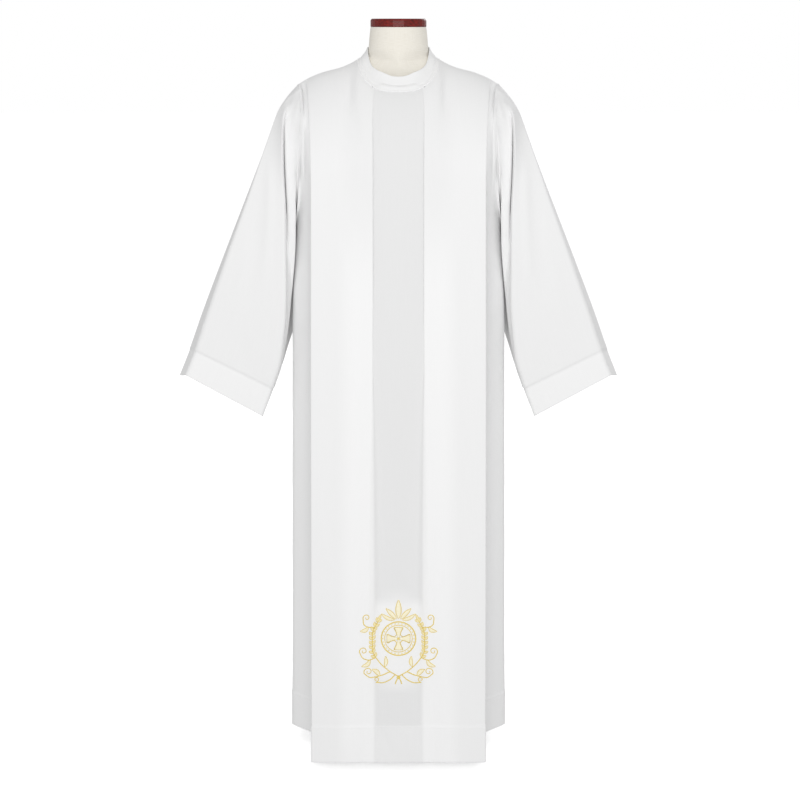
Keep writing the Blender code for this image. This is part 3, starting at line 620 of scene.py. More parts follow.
def armhole_frame(turn):
    """Unit vectors at an armhole point: outwards across the seam, and down along it."""
    step = 0.01
    along = unit(armhole_point(turn + step) - armhole_point(turn - step))
    tilt = ARMHOLE["top_slope"] * np.cos(np.minimum(turn, math.pi / 2)) ** 2
    across = np.stack([np.ones_like(tilt), np.zeros_like(tilt), tilt], axis=-1)
    across = across - along * (across * along).sum(axis=-1, keepdims=True)
    return unit(across), along


def neckline_point(turn, cut):
    """A point of the neckline; turn is 0 at the centre and pi/2 at the shoulder seam."""
    side, front = np.abs(np.sin(turn)), np.abs(np.cos(turn))
    reach = (side**NECK_SQUARENESS + front**NECK_SQUARENESS) ** (-1 / NECK_SQUARENESS)
    z = NECK_SIDE_Z - (NECK_SIDE_Z - cut["z"]) * (front * reach) ** NECK_RISE
    return np.stack([NECK_HALF_WIDTH * side * reach, -cut["depth"] * front * reach, z], axis=-1)


def shoulder_slope(x):
    step = 0.002
    rise = read_table(SHOULDER_LINE, x + step) - read_table(SHOULDER_LINE, x - step)
    return rise[..., 0] / (2 * step)


def section(share, q, z, cut):
    """Points of the body's columns at heights z (rows x columns). Over the front panel (q = 1) x is
    share * crease_x and y is -half_depth less a soft bow. Past the crease y is -half_depth * q and
    x swells from the crease to the side seam, round or drawn in behind the crease."""
    half_depth, crease_x, seam_x, side_start, side_run = np.moveaxis(
        read_table(BODY_LEVELS, z)[..., :5], -1, 0)
    across = np.clip((share - PLEAT_SHARE) / (1 - PLEAT_SHARE), 0, 1)
    bow = PANEL_BOW * np.sin(math.pi * across) * ease((PANEL_BOW_TOP - z) / PANEL_BOW_FADE)
    panel = np.stack([share * crease_x, -half_depth - bow, z], axis=-1)
    y = -half_depth * q
    full = cut["side"] + (1 - cut["side"]) * ease((z - SIDE_FULL_FROM) / SIDE_FULL_FADE)
    start = side_run + (side_start - side_run) * full
    t = np.clip((start + y) / side_run, 0, 1)
    out = SIDE_ROUNDING * ease(t) + (1 - SIDE_ROUNDING) * t
    side = np.stack([crease_x + (seam_x - crease_x) * out, y, z], axis=-1)
    return np.where((q >= 1)[..., None], panel, side)


def pleat_shift(share, step, z):
    """How far the pleat moves a column, in x and y. Over its step (0 to 1) the cloth runs out,
    doubles back and runs out again: dx = soft (2s-1) + fold (1 + sin 2 pi s), and comes forward by
    depth (1 + cos pi s) / 2. The columns on both sides make room."""
    depth, soft, fold = np.moveaxis(read_table(BODY_LEVELS, z)[..., 5:], -1, 0)
    pressed = ease((z - PLEAT_PRESSED_FROM) / PLEAT_PRESSED_FADE)
    depth = depth * (1 - (1 - PLEAT_PRESSED) * pressed)
    s = np.nan_to_num(step)
    dx = soft * (2 * s - 1) + fold * (1 + np.sin(2 * math.pi * s))
    dy = depth * (1 + np.cos(math.pi * s)) / 2
    inside, beside = share < PLEAT_SHARE, np.isnan(step)
    dx = np.where(beside & inside, (fold - soft) * share / PLEAT_SHARE, dx)
    dx = np.where(beside & ~inside, (fold + soft) * (1 - share) / (1 - PLEAT_SHARE), dx)
    return dx, np.where(beside, depth * inside, dy)


def column_top(share, turn, cut):
    """Where each column starts, and the way the cloth leaves the seam there: the neckline up to
    its corner, then the shoulder seam, then the armhole."""
    bend = np.radians(read_table(NECK_TURNS, share)[..., 0])
    out = FAN * np.sin(bend) ** FAN_POWER
    fall = (cut["steep"] * np.maximum(np.cos(bend), 0) ** STEEP_POWER
            - out * shoulder_slope(np.array(NECK_HALF_WIDTH + SLOPE_CLEAR)))
    from_neck = (neckline_point(bend, cut),
                 unit(np.stack([out, np.full_like(out, -FORWARD), -fall], axis=-1)))
    panel = (share - CORNER_SHARE) / (1 - CORNER_SHARE)
    x = NECK_HALF_WIDTH + (SHOULDER_CREASE_X - NECK_HALF_WIDTH) * panel
    fan = FAN * ease(1 - (x - NECK_HALF_WIDTH) / CORNER_FAN)
    fan = fan - FAN * ease((x - SHOULDER_CREASE_X) / (ARMHOLE["top_x"] - SHOULDER_CREASE_X))
    slope = shoulder_slope(np.clip(x, NECK_HALF_WIDTH + SLOPE_CLEAR,
                                   ARMHOLE["top_x"] - SLOPE_CLEAR))
    forward = -1 + (1 - FAN) * np.abs(fan) / FAN
    from_shoulder = (np.stack([x, 0 * x, read_table(SHOULDER_LINE, x)[..., 0]], axis=-1),
                     unit(np.stack([fan, forward, fan * slope], axis=-1)))
    at = np.nan_to_num(turn)
    across, along = armhole_frame(at)
    lean = (np.radians(ARMHOLE_LEAN) * (1 - at / math.pi))[..., None]
    from_armhole = armhole_point(at), -across * np.cos(lean) + along * np.sin(lean)
    holed, necked = ~np.isnan(turn)[..., None], (share < CORNER_SHARE)[..., None]
    return tuple(np.where(holed, a, np.where(necked, n, s))
                 for a, n, s in zip(from_armhole, from_neck, from_shoulder))


COLUMN_RUNS = {"centre": 14, "pleat": 18, "panel": 44, "shoulder": 8, "armhole": 40}
PANEL_COLUMNS = sum(COLUMN_RUNS[run] for run in ("centre", "pleat", "panel"))
UPPER_ROWS = 44             # from the seam to the chest
LOWER_ROWS = 56             # from there to the hem's line
HEM_ROWS = 9
BAND_EDGE = 0.0015          # spacing of the rows at the edge of a turned-up hem
BAND_LIFT = 0.0012          # how far the turned-up cloth stands out
EASED_CORNER = (0.38, 0.86)     # the columns round the neck corner that are drawn even
EASED_ROUNDS = 60
EASED_FADE = 0.08           # width in columns, and then in rows, over which that fades out
EASED_TOP_ROWS = 5
EASED_LOW_ROWS = 14


def body_columns():
    """share, q, step and turn of half a body piece's columns, from the centre out."""
    runs = COLUMN_RUNS
    tip = 1 + (1 - CORNER_SHARE) * (ARMHOLE["top_x"] - SHOULDER_CREASE_X) / (
        SHOULDER_CREASE_X - NECK_HALF_WIDTH)
    spans = (np.linspace(0, PLEAT_SHARE, runs["centre"], endpoint=False),
             np.full(runs["pleat"] + 1, PLEAT_SHARE),
             np.linspace(PLEAT_SHARE, 1, runs["panel"] + 1)[1:],
             np.linspace(1, tip, runs["shoulder"] + 1)[1:-1],
             np.full(runs["armhole"] + 1, tip))
    share = np.concatenate(spans)
    starts = np.cumsum([0] + [len(span) for span in spans])
    step, turn, q = np.full(len(share), np.nan), np.full(len(share), np.nan), np.ones(len(share))
    step[starts[1]:starts[2]] = np.linspace(0, 1, runs["pleat"] + 1)
    q[starts[3]:starts[4]] = np.interp(spans[3], (1, (1 + tip) / 2, tip), (1, *ARMHOLE_Q[:2]))
    at = np.linspace(0, math.pi, runs["armhole"] + 1)
    early = np.minimum(at / (math.pi / 2), 1) ** ARMHOLE_Q_RISE
    late = np.maximum(at / (math.pi / 2) - 1, 0)
    turn[starts[4]:] = at
    q[starts[4]:] = (ARMHOLE_Q[1] + (ARMHOLE_Q[2] - ARMHOLE_Q[1]) * early) * (1 - late)
    return share, q, step, turn


def half_body(cut):
    """Rows x columns of half a body piece: from its seam at the top, over the shoulder in one
    cubic, and then down its level sections to the hem. Rows lie close together, a few band edges
    apart, at the hem's line and at its edge."""
    share, q, step, turn = body_columns()
    low = np.nan_to_num(turn) / math.pi
    chest = CHEST_Z + (SIDE_CHEST_Z - CHEST_Z) * low**2
    hem = HEM_Z + SIDE_HEM_RISE * ease(1 - q)
    sewn, edge = hem + HEM_DEPTH, BAND_EDGE
    t = np.linspace(0, 1, LOWER_ROWS)[:, None]
    band = np.linspace(0, 1, HEM_ROWS - 2)[:-1, None]
    z = np.vstack([chest + (sewn + 4 * edge - chest) * t,
                   [sewn + edge, sewn, sewn - 2 * edge],
                   sewn - 6 * edge + (hem - sewn + 7 * edge) * band,
                   [hem + edge, hem]])
    hanging = section(share + 0 * z, q + 0 * z, z, cut)
    dx, dy = pleat_shift(share + 0 * z, step + 0 * z, z)
    flat = q >= 1
    hanging[..., 0] += dx * flat
    hanging[..., 1] += dy * flat
    start, leave = column_top(share, turn, cut)
    start[:, 1] += PLEAT_START_DEPTH * dy[0] * flat
    pleat = ~np.isnan(step)
    start[:, 0] += np.where(pleat, PLEAT_START_SOFT * (2 * np.nan_to_num(step) - 1), 0)
    start[:, 2] -= PLEAT_TUCK * pleat
    length = np.linalg.norm(hanging[0] - start, axis=-1, keepdims=True)
    lay = start + leave * SEAM_LAY
    down = unit(hanging[1] - hanging[0])
    pull = np.where(np.isnan(turn), LEAVE_PULL, ARMHOLE_PULL)[:, None]
    over = hermite(lay[None], (leave * length * pull)[None], hanging[:1],
                   (down * length * ARRIVE_PULL)[None],
                   np.linspace(0, 1, UPPER_ROWS)[:, None, None])
    return np.vstack([start[None], over[:-1], hanging])


def evened(grid, axis, where, rounds):
    """The grid with its points drawn even with their neighbours along an axis: each round takes
    them, where that applies, to the mean of the two neighbours and of themselves twice."""
    for _ in range(rounds):
        between = (np.roll(grid, 1, axis) + 2 * grid + np.roll(grid, -1, axis)) / 4
        grid = grid + (between - grid) * where[..., None]
    return grid


def corner_evened(half):
    """The half piece drawn even round the neck corner, over its upper rows."""
    share, rows = body_columns()[0], np.arange(len(half))
    down = (ease((rows - 1) / EASED_TOP_ROWS)
            * ease((UPPER_ROWS + EASED_LOW_ROWS - rows) / EASED_LOW_ROWS))
    across = (ease((share - EASED_CORNER[0]) / EASED_FADE)
              * ease((EASED_CORNER[1] - share) / EASED_FADE))
    return evened(half, 1, down[:, None] * across, EASED_ROUNDS)


def body_grid(cut):
    """A whole front or back before its folds: half a piece and its mirror image."""
    half = corner_evened(half_body(cut))
    half[:, 0, 0] = 0.0
    half[:, :, 1] = np.minimum(half[:, :, 1], 0.0)
    return np.concatenate([half[:, :0:-1] * (-1, 1, 1), half], axis=1)


FRONT_FOLDS = (
    # x0,    z0,     x1,     z1,    bend,  width, height, fade
    (-0.1030, 1.516, -0.1065, 1.410, 0.000, 0.0075, -0.0022, 0.45),
    (-0.1240, 1.508, -0.1250, 1.380, 0.000, 0.0120, 0.0009, 0.40),
    (0.0990, 1.518, 0.0995, 1.410, 0.000, 0.0075, -0.0020, 0.45),
    (0.1230, 1.505, 0.1230, 1.390, 0.000, 0.0120, 0.0008, 0.40),
    (-0.0440, 1.485, -0.0445, 1.350, 0.000, 0.0055, -0.0016, 0.30),
    (0.0405, 1.485, 0.0405, 1.370, 0.000, 0.0045, -0.0008, 0.30),
    (-0.1560, 1.440, -0.1500, 0.300, 0.004, 0.0180, -0.0013, 0.25),
    (0.1540, 1.420, 0.1520, 0.340, -0.004, 0.0190, -0.0012, 0.25),
    (-0.1120, 1.300, -0.1060, 0.420, 0.000, 0.0240, 0.0010, 0.30),
    (0.1100, 1.330, 0.1080, 0.380, 0.000, 0.0240, 0.0011, 0.30),
    (-0.0440, 0.104, -0.0120, 0.016, 0.003, 0.0110, -0.0018, 0.30),
    (0.0240, 0.104, 0.0300, 0.016, 0.000, 0.0130, 0.0014, 0.30),
    (-0.1100, 0.098, -0.1060, 0.016, 0.000, 0.0200, 0.0010, 0.35),
    (0.1180, 0.098, 0.1220, 0.016, 0.000, 0.0180, -0.0010, 0.35),
)
BACK_FOLDS = (
    # x0,    z0,     x1,     z1,    bend,  width, height, fade
    (-0.1100, 1.500, -0.1180, 1.330, 0.004, 0.0140, -0.0022, 0.40),
    (0.1060, 1.500, 0.1120, 1.300, -0.003, 0.0140, -0.0020, 0.40),
    (-0.1560, 1.420, -0.1480, 0.260, 0.006, 0.0190, -0.0024, 0.25),
    (0.1520, 1.400, 0.1500, 0.300, -0.005, 0.0200, -0.0022, 0.25),
    (-0.1080, 1.250, -0.1010, 0.180, 0.004, 0.0260, 0.0022, 0.30),
    (0.1040, 1.280, 0.1100, 0.220, -0.004, 0.0260, 0.0021, 0.30),
    (-0.0200, 1.150, -0.0140, 0.100, 0.005, 0.0180, -0.0012, 0.35),
    (0.0240, 0.900, 0.0180, 0.060, -0.004, 0.0160, 0.0012, 0.35),
)
GATHERS = (                 # hollows that run on over the armhole seam
    # x0,    z0,     x1,     z1,    bend,  width, depth,  fade
    (-0.1960, 1.503, -0.2250, 1.398, 0.000, 0.0055, 0.0058, 0.30),
    (-0.2230, 1.482, -0.2420, 1.390, 0.000, 0.0052, 0.0066, 0.35),
    (-0.2070, 1.430, -0.2165, 1.240, 0.000, 0.0065, 0.0070, 0.35),
    (0.1965, 1.503, 0.2270, 1.398, 0.000, 0.0055, 0.0056, 0.30),
    (0.2240, 1.482, 0.2430, 1.390, 0.000, 0.0052, 0.0062, 0.35),
    (0.2075, 1.430, 0.2170, 1.240, 0.000, 0.0065, 0.0070, 0.35),
)
GATHER_SIDE = 0.030         # depth in front of, or behind, the middle at which they are full
GATHERS_BEHIND = 0.8        # how deep they are behind, as a share of the front
ARMPIT_PAINTED_SHADE = (           # painted shade beside the armpit, on both sides: the tone drawn down to one layer's grey
    # x0,   z0,    x1,     z1,    bend,  width, share, fade
    (0.2035, 1.500, 0.2115, 1.220, 0.000, 0.0092, 1.0, 0.28),
)

# How doubled the cloth is: 0 where one layer hangs free, 1 where two lie together. The same value
# also carries painted shade, where it is lowered, and painted light, where it is raised.
OVER_FORM = 0.65            # one layer with the form, or a lining of air, close behind it
PANEL_FROM, PANEL_FADE = 0.35, 0.25     # part of the pleat's step over which the panel starts
OUTER_LESS = 0.35           # what the panel has less past the pleat's own folds
OUTER_FROM, OUTER_FADE = 0.45, 0.25     # columns
NECK_PAINTED_SHADE = 0.52            # painted shade: how far the panel's tone is lowered beside the neck
HIGH_FROM, HIGH_FADE = 1.03, 0.27       # heights
SIDE_FROM, SIDE_FADE = 1.0, 0.02        # columns past which the body's sides get the whiter tone back, as painted light
STIFFENED, STIFF_EDGE, STIFF_FADE = 0.9, 1.15, 0.3   # behind the embroidery; shares of its radius
IN_HEM = 0.35


def with_armpit_shade(doubling_and_shade, points):
    """The doubling of the cloth, lowered beside the armpit as painted shade."""
    return doubling_and_shade * (1 - folds(np.abs(points[..., 0]), points[..., 2], ARMPIT_PAINTED_SHADE))


def gathered(points):
    """Points drawn straight in towards the middle by the gathers, alike on both sides of a seam."""
    x, y, z = np.moveaxis(points, -1, 0)
    way = np.where(y < 0, 1.0, -GATHERS_BEHIND) * ease(np.abs(y) / GATHER_SIDE)
    return points + np.stack([0 * x, way * folds(x, z, GATHERS), 0 * x], axis=-1)


def in_band(grid, rows):
    """1 over the last rows of a grid, where the cloth is turned up, and 0 above."""
    return (np.arange(len(grid))[:, None] >= len(grid) - rows).astype(float)


def body_surface(grid, table):
    """A body piece with its soft folds and its turned-up hem."""
    lift = folds(grid[..., 0], grid[..., 2], table) + BAND_LIFT * in_band(grid, HEM_ROWS + 1)
    return grid + grid_normals(grid) * lift[..., None]


def front_layers(grid):
    """How doubled the front is at each point: the recess is one layer, the panel lies over the
    pleat's own folds, and a stiffener backs the embroidery. The recess's grey is partly one layer
    hanging free and partly painted shade of its lying set back; the panel is painted darker beside
    the neck as painted shade, and the sides past the crease are painted whiter as painted light."""
    share, _, step, _ = body_columns()
    over = np.where(np.isnan(step), np.where(share < PLEAT_SHARE, 0.0, 1.0),
                    ease((np.nan_to_num(step) - PANEL_FROM) / PANEL_FADE))
    share, over = (np.concatenate([column[:0:-1], column])[None] for column in (share, over))
    outer = ease((share - OUTER_FROM) / OUTER_FADE)
    high = ease((grid[..., 2] - HIGH_FROM) / HIGH_FADE) * (1 - outer)
    side = ease((share - SIDE_FROM) / SIDE_FADE)
    # the recess keeps one layer's grey, which also paints the shade of its lying set back
    panel = over * (1 - NECK_PAINTED_SHADE * high - OUTER_LESS * outer + OUTER_LESS * side)
    away = np.hypot(grid[..., 0], grid[..., 2] - EMBROIDERY_Z) / BACKING_RADIUS
    return np.maximum(panel, STIFFENED * ease((STIFF_EDGE - away) / STIFF_FADE))


def layers_of(grid, node):
    """How doubled a piece is at each point, with its turned-up hem or cuff, and with painted shade
    beside the armpit.
    """
    doubling_and_shade = front_layers(grid) if node == "front" else np.full(grid.shape[:2], OVER_FORM)
    if node in ("front", "back"):
        hem = in_band(grid, HEM_ROWS + 1) > 0
        doubling_and_shade = np.where(hem, np.maximum(doubling_and_shade, IN_HEM), doubling_and_shade)
    elif node != "collar":
        doubling_and_shade[-CUFF_ROWS:] = 1.0
    return with_armpit_shade(doubling_and_shade, grid)


# ==== sleeve ====================================================================================
SLEEVE_ROWS = 90
CUFF_ROWS = 10
SLEEVE_FOLDS = (
    # x0,    z0,     x1,     z1,    bend,   width,  height, fade
    (0.2700, 1.360, 0.2900, 1.030, -0.008, 0.0100, -0.0022, 0.30),
    (0.2860, 1.300, 0.3300, 1.000, -0.004, 0.0160, 0.0014, 0.35),
    (0.3000, 1.180, 0.3600, 0.930, 0.004, 0.0180, -0.0012, 0.35),
    (0.3200, 0.960, 0.3420, 0.850, 0.000, 0.0140, 0.0012, 0.35),
)
CUFF_STEPS = (-0.0025, 0.0, 0.005)      # rows close beside the cuff's line, in shares of length
CUFF_CLEAR = (0.010, 0.014)             # where the even rows end above it and start below it
CUFF_EDGE = 0.0025                      # spacing of the last two rows
# Rows drawn even: how many rows and rounds, and the rows over which that starts and ends.
EVEN_DOWN = {"rows": 34, "rounds": 16, "from": 2, "start": 3, "end": 10}
EVEN_ROUND = {"rows": 16, "rounds": 10, "from": 1, "start": 3, "end": 8}
SLEEVE_FOLD_SIDE = 0.030    # depth in front of, or behind, the middle at which its folds are full
SLEEVE_FOLDS_BEHIND = 0.7   # how deep they are behind, as a share of the front
SLEEVE_FOLD_ROWS = 4        # rows below the seam over which they start
RIGHT_SLEEVE_FOLDS_MOVE = 0.004


def sleeve_lines(share):
    """The lines' points, lines x shares x 3: the front ones from the outer edge round to the
    underarm, and then the back ones round to the outer edge again."""
    tables = (OUTER_EDGE, FRONT_CREASE, FRONT_FOLD, UNDER_FOLD, STRIP_OUTER, STRIP_INNER, SIDE_GAP,
              UNDERARM)
    front, back = [], []
    ratio, shift = read_table(BACK_LINES, share).T
    for table, turn in zip(tables, ARMHOLE_TURNS):
        seam = armhole_point(np.array(turn))
        across, _ = armhole_frame(np.array(turn))
        first = (0.0, *seam)
        lay = (LAY_SHARE, *(seam + across * SEAM_LAY))
        front.append(read_table((first, lay, *table), share))
        x, y, z = front[-1].T
        nearer = shift * np.clip(-y / SHIFT_DEPTH, 0, 1) * (table not in (OUTER_EDGE, FRONT_CREASE))
        back.append(np.stack([x - nearer, -y * ratio, z], axis=-1))
    back[0], back[-1] = front[0], front[-1]
    return np.array(front + back[-2:0:-1])


def sleeve_rows():
    """The rows' shares of the sleeve's length: closer at the seam and round the cuff's line."""
    edge = 1 - CUFF_SHARE
    return np.concatenate([
        [0, LAY_SHARE / 2, LAY_SHARE],
        np.linspace(2 * LAY_SHARE, edge - CUFF_CLEAR[0], SLEEVE_ROWS),
        [edge + step for step in CUFF_STEPS],
        np.linspace(edge + CUFF_CLEAR[1], 1 - CUFF_EDGE, CUFF_ROWS - len(CUFF_STEPS)), [1.0]])


def sleeve_grid():
    """Rows x columns of the sleeve: a cubic from each line to the next. It crosses a line on the
    way from the one before to the one after, and leaves a pressed crease straight for the next."""
    lines = sleeve_lines(sleeve_rows())
    count = len(lines)
    cuts = LINE_CUTS + LINE_CUTS[::-1]
    sharp = LINE_SHARP + LINE_SHARP[-2:0:-1]
    columns = []
    for i in range(count):
        here, there = lines[i], lines[(i + 1) % count]
        before, after = lines[i - 1], lines[(i + 2) % count]
        leave = there - here if sharp[i] else (there - before) / 2
        arrive = there - here if sharp[(i + 1) % count] else (after - here) / 2
        t = (np.arange(cuts[i]) / cuts[i])[:, None, None]
        columns.append(hermite(here, leave, there, arrive, t))
    return np.moveaxis(np.concatenate(columns), 0, 1)


def folded_sleeve(grid, move):
    """The sleeve with its soft folds in front, and the same more weakly behind. Its upper rows are
    first drawn even with the points beside them, down the sleeve and then round it."""
    rows = np.arange(len(grid))[:, None]
    for axis, zone in ((0, EVEN_DOWN), (1, EVEN_ROUND)):
        where = (ease((rows - zone["from"]) / zone["start"])
                 * ease((zone["rows"] - rows) / zone["end"]))
        grid = evened(grid, axis, where, zone["rounds"])
    x, y, z = np.moveaxis(grid, -1, 0)
    side = np.where(y < 0, 1.0, SLEEVE_FOLDS_BEHIND) * ease(np.abs(y) / SLEEVE_FOLD_SIDE)
    lift = folds(np.abs(x) - move, z, SLEEVE_FOLDS) * side * ease(rows / SLEEVE_FOLD_ROWS)
    lift = lift + BAND_LIFT * in_band(grid, CUFF_ROWS)
    return grid + grid_normals(grid, ring=True) * lift[..., None]


# ==== collar ====================================================================================
COLLAR_COLUMNS = 144
COLLAR_ROWS = 34
COLLAR_CREASE = {"depth": 0.0009, "width": 0.055, "from": 0.10}    # shares of its height
COLLAR_ROLL = {"height": 0.0022, "at": 0.27, "width": 0.15}
COLLAR_ROLL_ENDS = (34, 12)     # degrees from the centre front, and those over which it fades
COLLAR_FOOT = 0.06              # share of its height that lies plain above the seam


def collar_grid():
    """Rows x columns of the stand collar, from the neckline up to its own top edge: one cubic
    inwards and upwards, with a pressed crease all round and a soft roll in front."""
    turn = round_turns(COLLAR_COLUMNS)
    side, front = np.sin(turn), np.cos(turn)
    ahead = front > -1e-9
    base = np.where(ahead[:, None], neckline_point(turn, FRONT_CUT), neckline_point(turn, BACK_CUT))
    ways = np.where(side < 0, -1, 1), np.where(ahead, 1, -1), np.ones(len(turn))
    base = base * np.stack(ways, axis=-1)
    depth = np.where(ahead, COLLAR_TOP["front"], COLLAR_TOP["back"])
    edge_z = np.where(ahead, COLLAR_TOP["front_z"], COLLAR_TOP["back_z"])
    drop = read_table(COLLAR_EDGE, np.degrees(np.arccos(np.clip(np.abs(front), 0, 1))))[..., 0]
    top_z = COLLAR_TOP["side_z"] + (edge_z - COLLAR_TOP["side_z"]) * drop
    square = COLLAR_TOP["squareness"]
    reach = (np.abs(side) ** square + np.abs(front) ** square) ** (-1 / square)
    half_width = COLLAR_TOP["half_width"]
    top = np.stack([half_width * side * reach, -depth * front * reach, top_z], axis=-1)
    inward = unit((top - base) * (1, 1, 0))
    height = np.linalg.norm(top - base, axis=-1, keepdims=True)
    low = COLLAR_LEAVE[0] + (COLLAR_LEAVE[1] - COLLAR_LEAVE[0]) * np.abs(front)
    low, high = np.radians(low)[:, None], math.radians(COLLAR_ARRIVE)
    leave = (inward * np.cos(low) + UP * np.sin(low)) * height
    arrive = (inward * math.cos(high) + UP * math.sin(high)) * height
    t = np.linspace(0, 1, COLLAR_ROWS)[:, None, None]
    grid = hermite(base[None], leave[None], top[None], arrive[None], t)[:, ::-1]
    turn = np.abs((np.degrees(turn[::-1]) + 180) % 360 - 180)[None]
    line = read_table(COLLAR_LINE, turn)[..., 0]
    centre = ease((COLLAR_ROLL_ENDS[0] - turn) / COLLAR_ROLL_ENDS[1])
    t = t[..., 0]
    crease = np.exp(-((t - line) / COLLAR_CREASE["width"]) ** 2) * ease(t / COLLAR_CREASE["from"])
    roll = np.exp(-((t - COLLAR_ROLL["at"]) / COLLAR_ROLL["width"]) ** 2)
    lift = centre * COLLAR_ROLL["height"] * roll - COLLAR_CREASE["depth"] * crease
    return grid + grid_normals(grid, ring=True) * (lift * ease(t / COLLAR_FOOT))[..., None]


# ==== dress form ================================================================================
FORM_COLUMNS = 96
FORM_ROWS = (40, 60)            # over its body, and over its shoulders and neck


def level_rings(levels):
    """Rings of a rounded box: x = a |cos|^(2/n), y = b |sin|^(2/n), signed, at height z."""
    z, half_width, half_depth, squareness = (column[:, None] for column in levels.T)
    turn = round_turns(FORM_COLUMNS)
    c, s = np.cos(turn)[None], np.sin(turn)[None]
    x = half_width * np.sign(c) * np.abs(c) ** (2 / squareness)
    y = half_depth * np.sign(s) * np.abs(s) ** (2 / squareness)
    return np.stack([x, y, z + 0 * x], axis=-1)


def form_grid():
    """The form's levels from its neck down to its rim. Its shoulders lie just under the cloth's."""
    first = np.array(FORM_LEVELS[0])
    z = np.linspace(first[0], FORM_LEVELS[-1][0], FORM_ROWS[0])
    body = np.column_stack([z, read_table(FORM_LEVELS, z)])
    x, half_depth, squareness = np.array(FORM_SHOULDER).T
    slope = shoulder_slope(x)
    down = FORM_UNDER_CLOTH / np.hypot(1, slope)
    shoulder = np.column_stack([read_table(SHOULDER_LINE, x)[..., 0] - down, x + slope * down,
                                half_depth, squareness])
    knots = np.vstack([body[-1:], shoulder, FORM_NECK])
    at = distance_along(knots[:, :2])
    upper = read_table(np.column_stack([at, knots]), np.linspace(0, at[-1], FORM_ROWS[1])[1:])
    rim = [(first[0] - drop, first[1] * wide, first[2] * deep, first[3])
           for drop, wide, deep in FORM_FLOOR]
    return level_rings(np.vstack([rim, body, upper]))[::-1]


# ==== embroidery and sewing =====================================================================
EMBROIDERY_Z = 0.289        # height of its centre
EMBROIDERY_REACH = 0.105    # half its width and height, with a margin
BACKING_RADIUS = 0.098      # the stiffener behind it, which makes the cloth read whiter
STITCH_HEIGHT = 0.0009      # how far satin stitch stands up
STITCH_SUNK = 0.35          # how far it goes in below, as a share of that
STITCH_FULL = 0.8           # half width at which it stands full height, as a share of that
STROKE_ROUND = 8            # points round a stroke
POINTS = {"dot": 7, "arm": 16, "grain": 11, "leaf": 17, "petal": 21, "tail": 12, "tendril": 24,
          "spiral": 40}     # along a stroke
FACE_READ = 1.4             # how far from the motif's centre the cloth is read, in reaches
FACE_REACH = 1.1            # and how far the lattice goes
FACE_LATTICE = (221, 111)   # its points across and up
SPIRAL_IN = 0.8             # how much of its radius a tendril's end winds in
LEAF_SHAPE = {"rise": 0.9, "swell": 0.8, "tip": 0.02}
ARMHOLE_RIDGE = 0.0008      # half thickness of a felled seam
NECK_RIDGE = 0.0014
SEAM_LAYERS = 0.85


class PanelFace:
    """The low front panel as a height field: its depth y and slopes over x and z, read off the
    front piece's level rows on an even lattice."""

    def __init__(self, grid):
        middle = grid.shape[1] // 2
        columns = np.abs(np.arange(grid.shape[1]) - middle) < PANEL_COLUMNS
        near = np.abs(grid[:, middle, 2] - EMBROIDERY_Z) < FACE_READ * EMBROIDERY_REACH
        rows, reach = grid[near][::-1], FACE_REACH * EMBROIDERY_REACH
        self.x, z = (np.linspace(-reach, reach, count) for count in FACE_LATTICE)
        self.z = z + EMBROIDERY_Z
        level = np.array([np.interp(self.x, row[columns, 0], row[columns, 1]) for row in rows])
        self.depth = values_at(self.z, rows[:, middle, 2], level)
        self.slope_z, self.slope_x = np.gradient(self.depth, self.z, self.x)

    def read(self, field, x, z):
        """The field at places (x, z): straight between the lattice's points."""
        i = np.clip(np.searchsorted(self.x, x) - 1, 0, len(self.x) - 2)
        j = np.clip(np.searchsorted(self.z, z) - 1, 0, len(self.z) - 2)
        a = (x - self.x[i]) / (self.x[i + 1] - self.x[i])
        b = (z - self.z[j]) / (self.z[j + 1] - self.z[j])
        return ((field[j, i] * (1 - a) + field[j, i + 1] * a) * (1 - b)
                + (field[j + 1, i] * (1 - a) + field[j + 1, i + 1] * a) * b)

    def lay(self, flat, height):
        """Points at flat places (x, z) that stand the given height off the cloth."""
        x, z = flat[..., 0], flat[..., 1] + EMBROIDERY_Z
        normal = unit(np.stack([self.read(self.slope_x, x, z), -np.ones_like(x),
                                self.read(self.slope_z, x, z)], axis=-1))
        return np.stack([x, self.read(self.depth, x, z), z], axis=-1) + normal * height[..., None]


def curve(points, count):
    """A smooth path through a few points, given in millimetres; result in metres."""
    points = np.array(points, float) / 1000
    along = distance_along(points)
    return read_table(np.column_stack([along, points]), np.linspace(0, along[-1], count))


def compass(turn):
    """Directions (cos, sin) of angles."""
    return np.stack([np.cos(turn), np.sin(turn)], axis=-1)


def circle(centre, radius, count):
    return (np.array(centre) + radius * compass(round_turns(count))) / 1000


def spiral(centre, radius, start, sweep, count):
    """A tendril's end: it winds in towards its centre, through sweep degrees."""
    t = np.linspace(0, 1, count)
    reach = radius * (1 - SPIRAL_IN * t)[:, None]
    return (np.array(centre) + reach * compass(np.radians(start + sweep * t))) / 1000


def mirrored(path):
    return path * (-1, 1)


def beside(ahead):
    """The directions square to a flat path's own."""
    return np.stack([-ahead[:, 1], ahead[:, 0]], axis=-1)


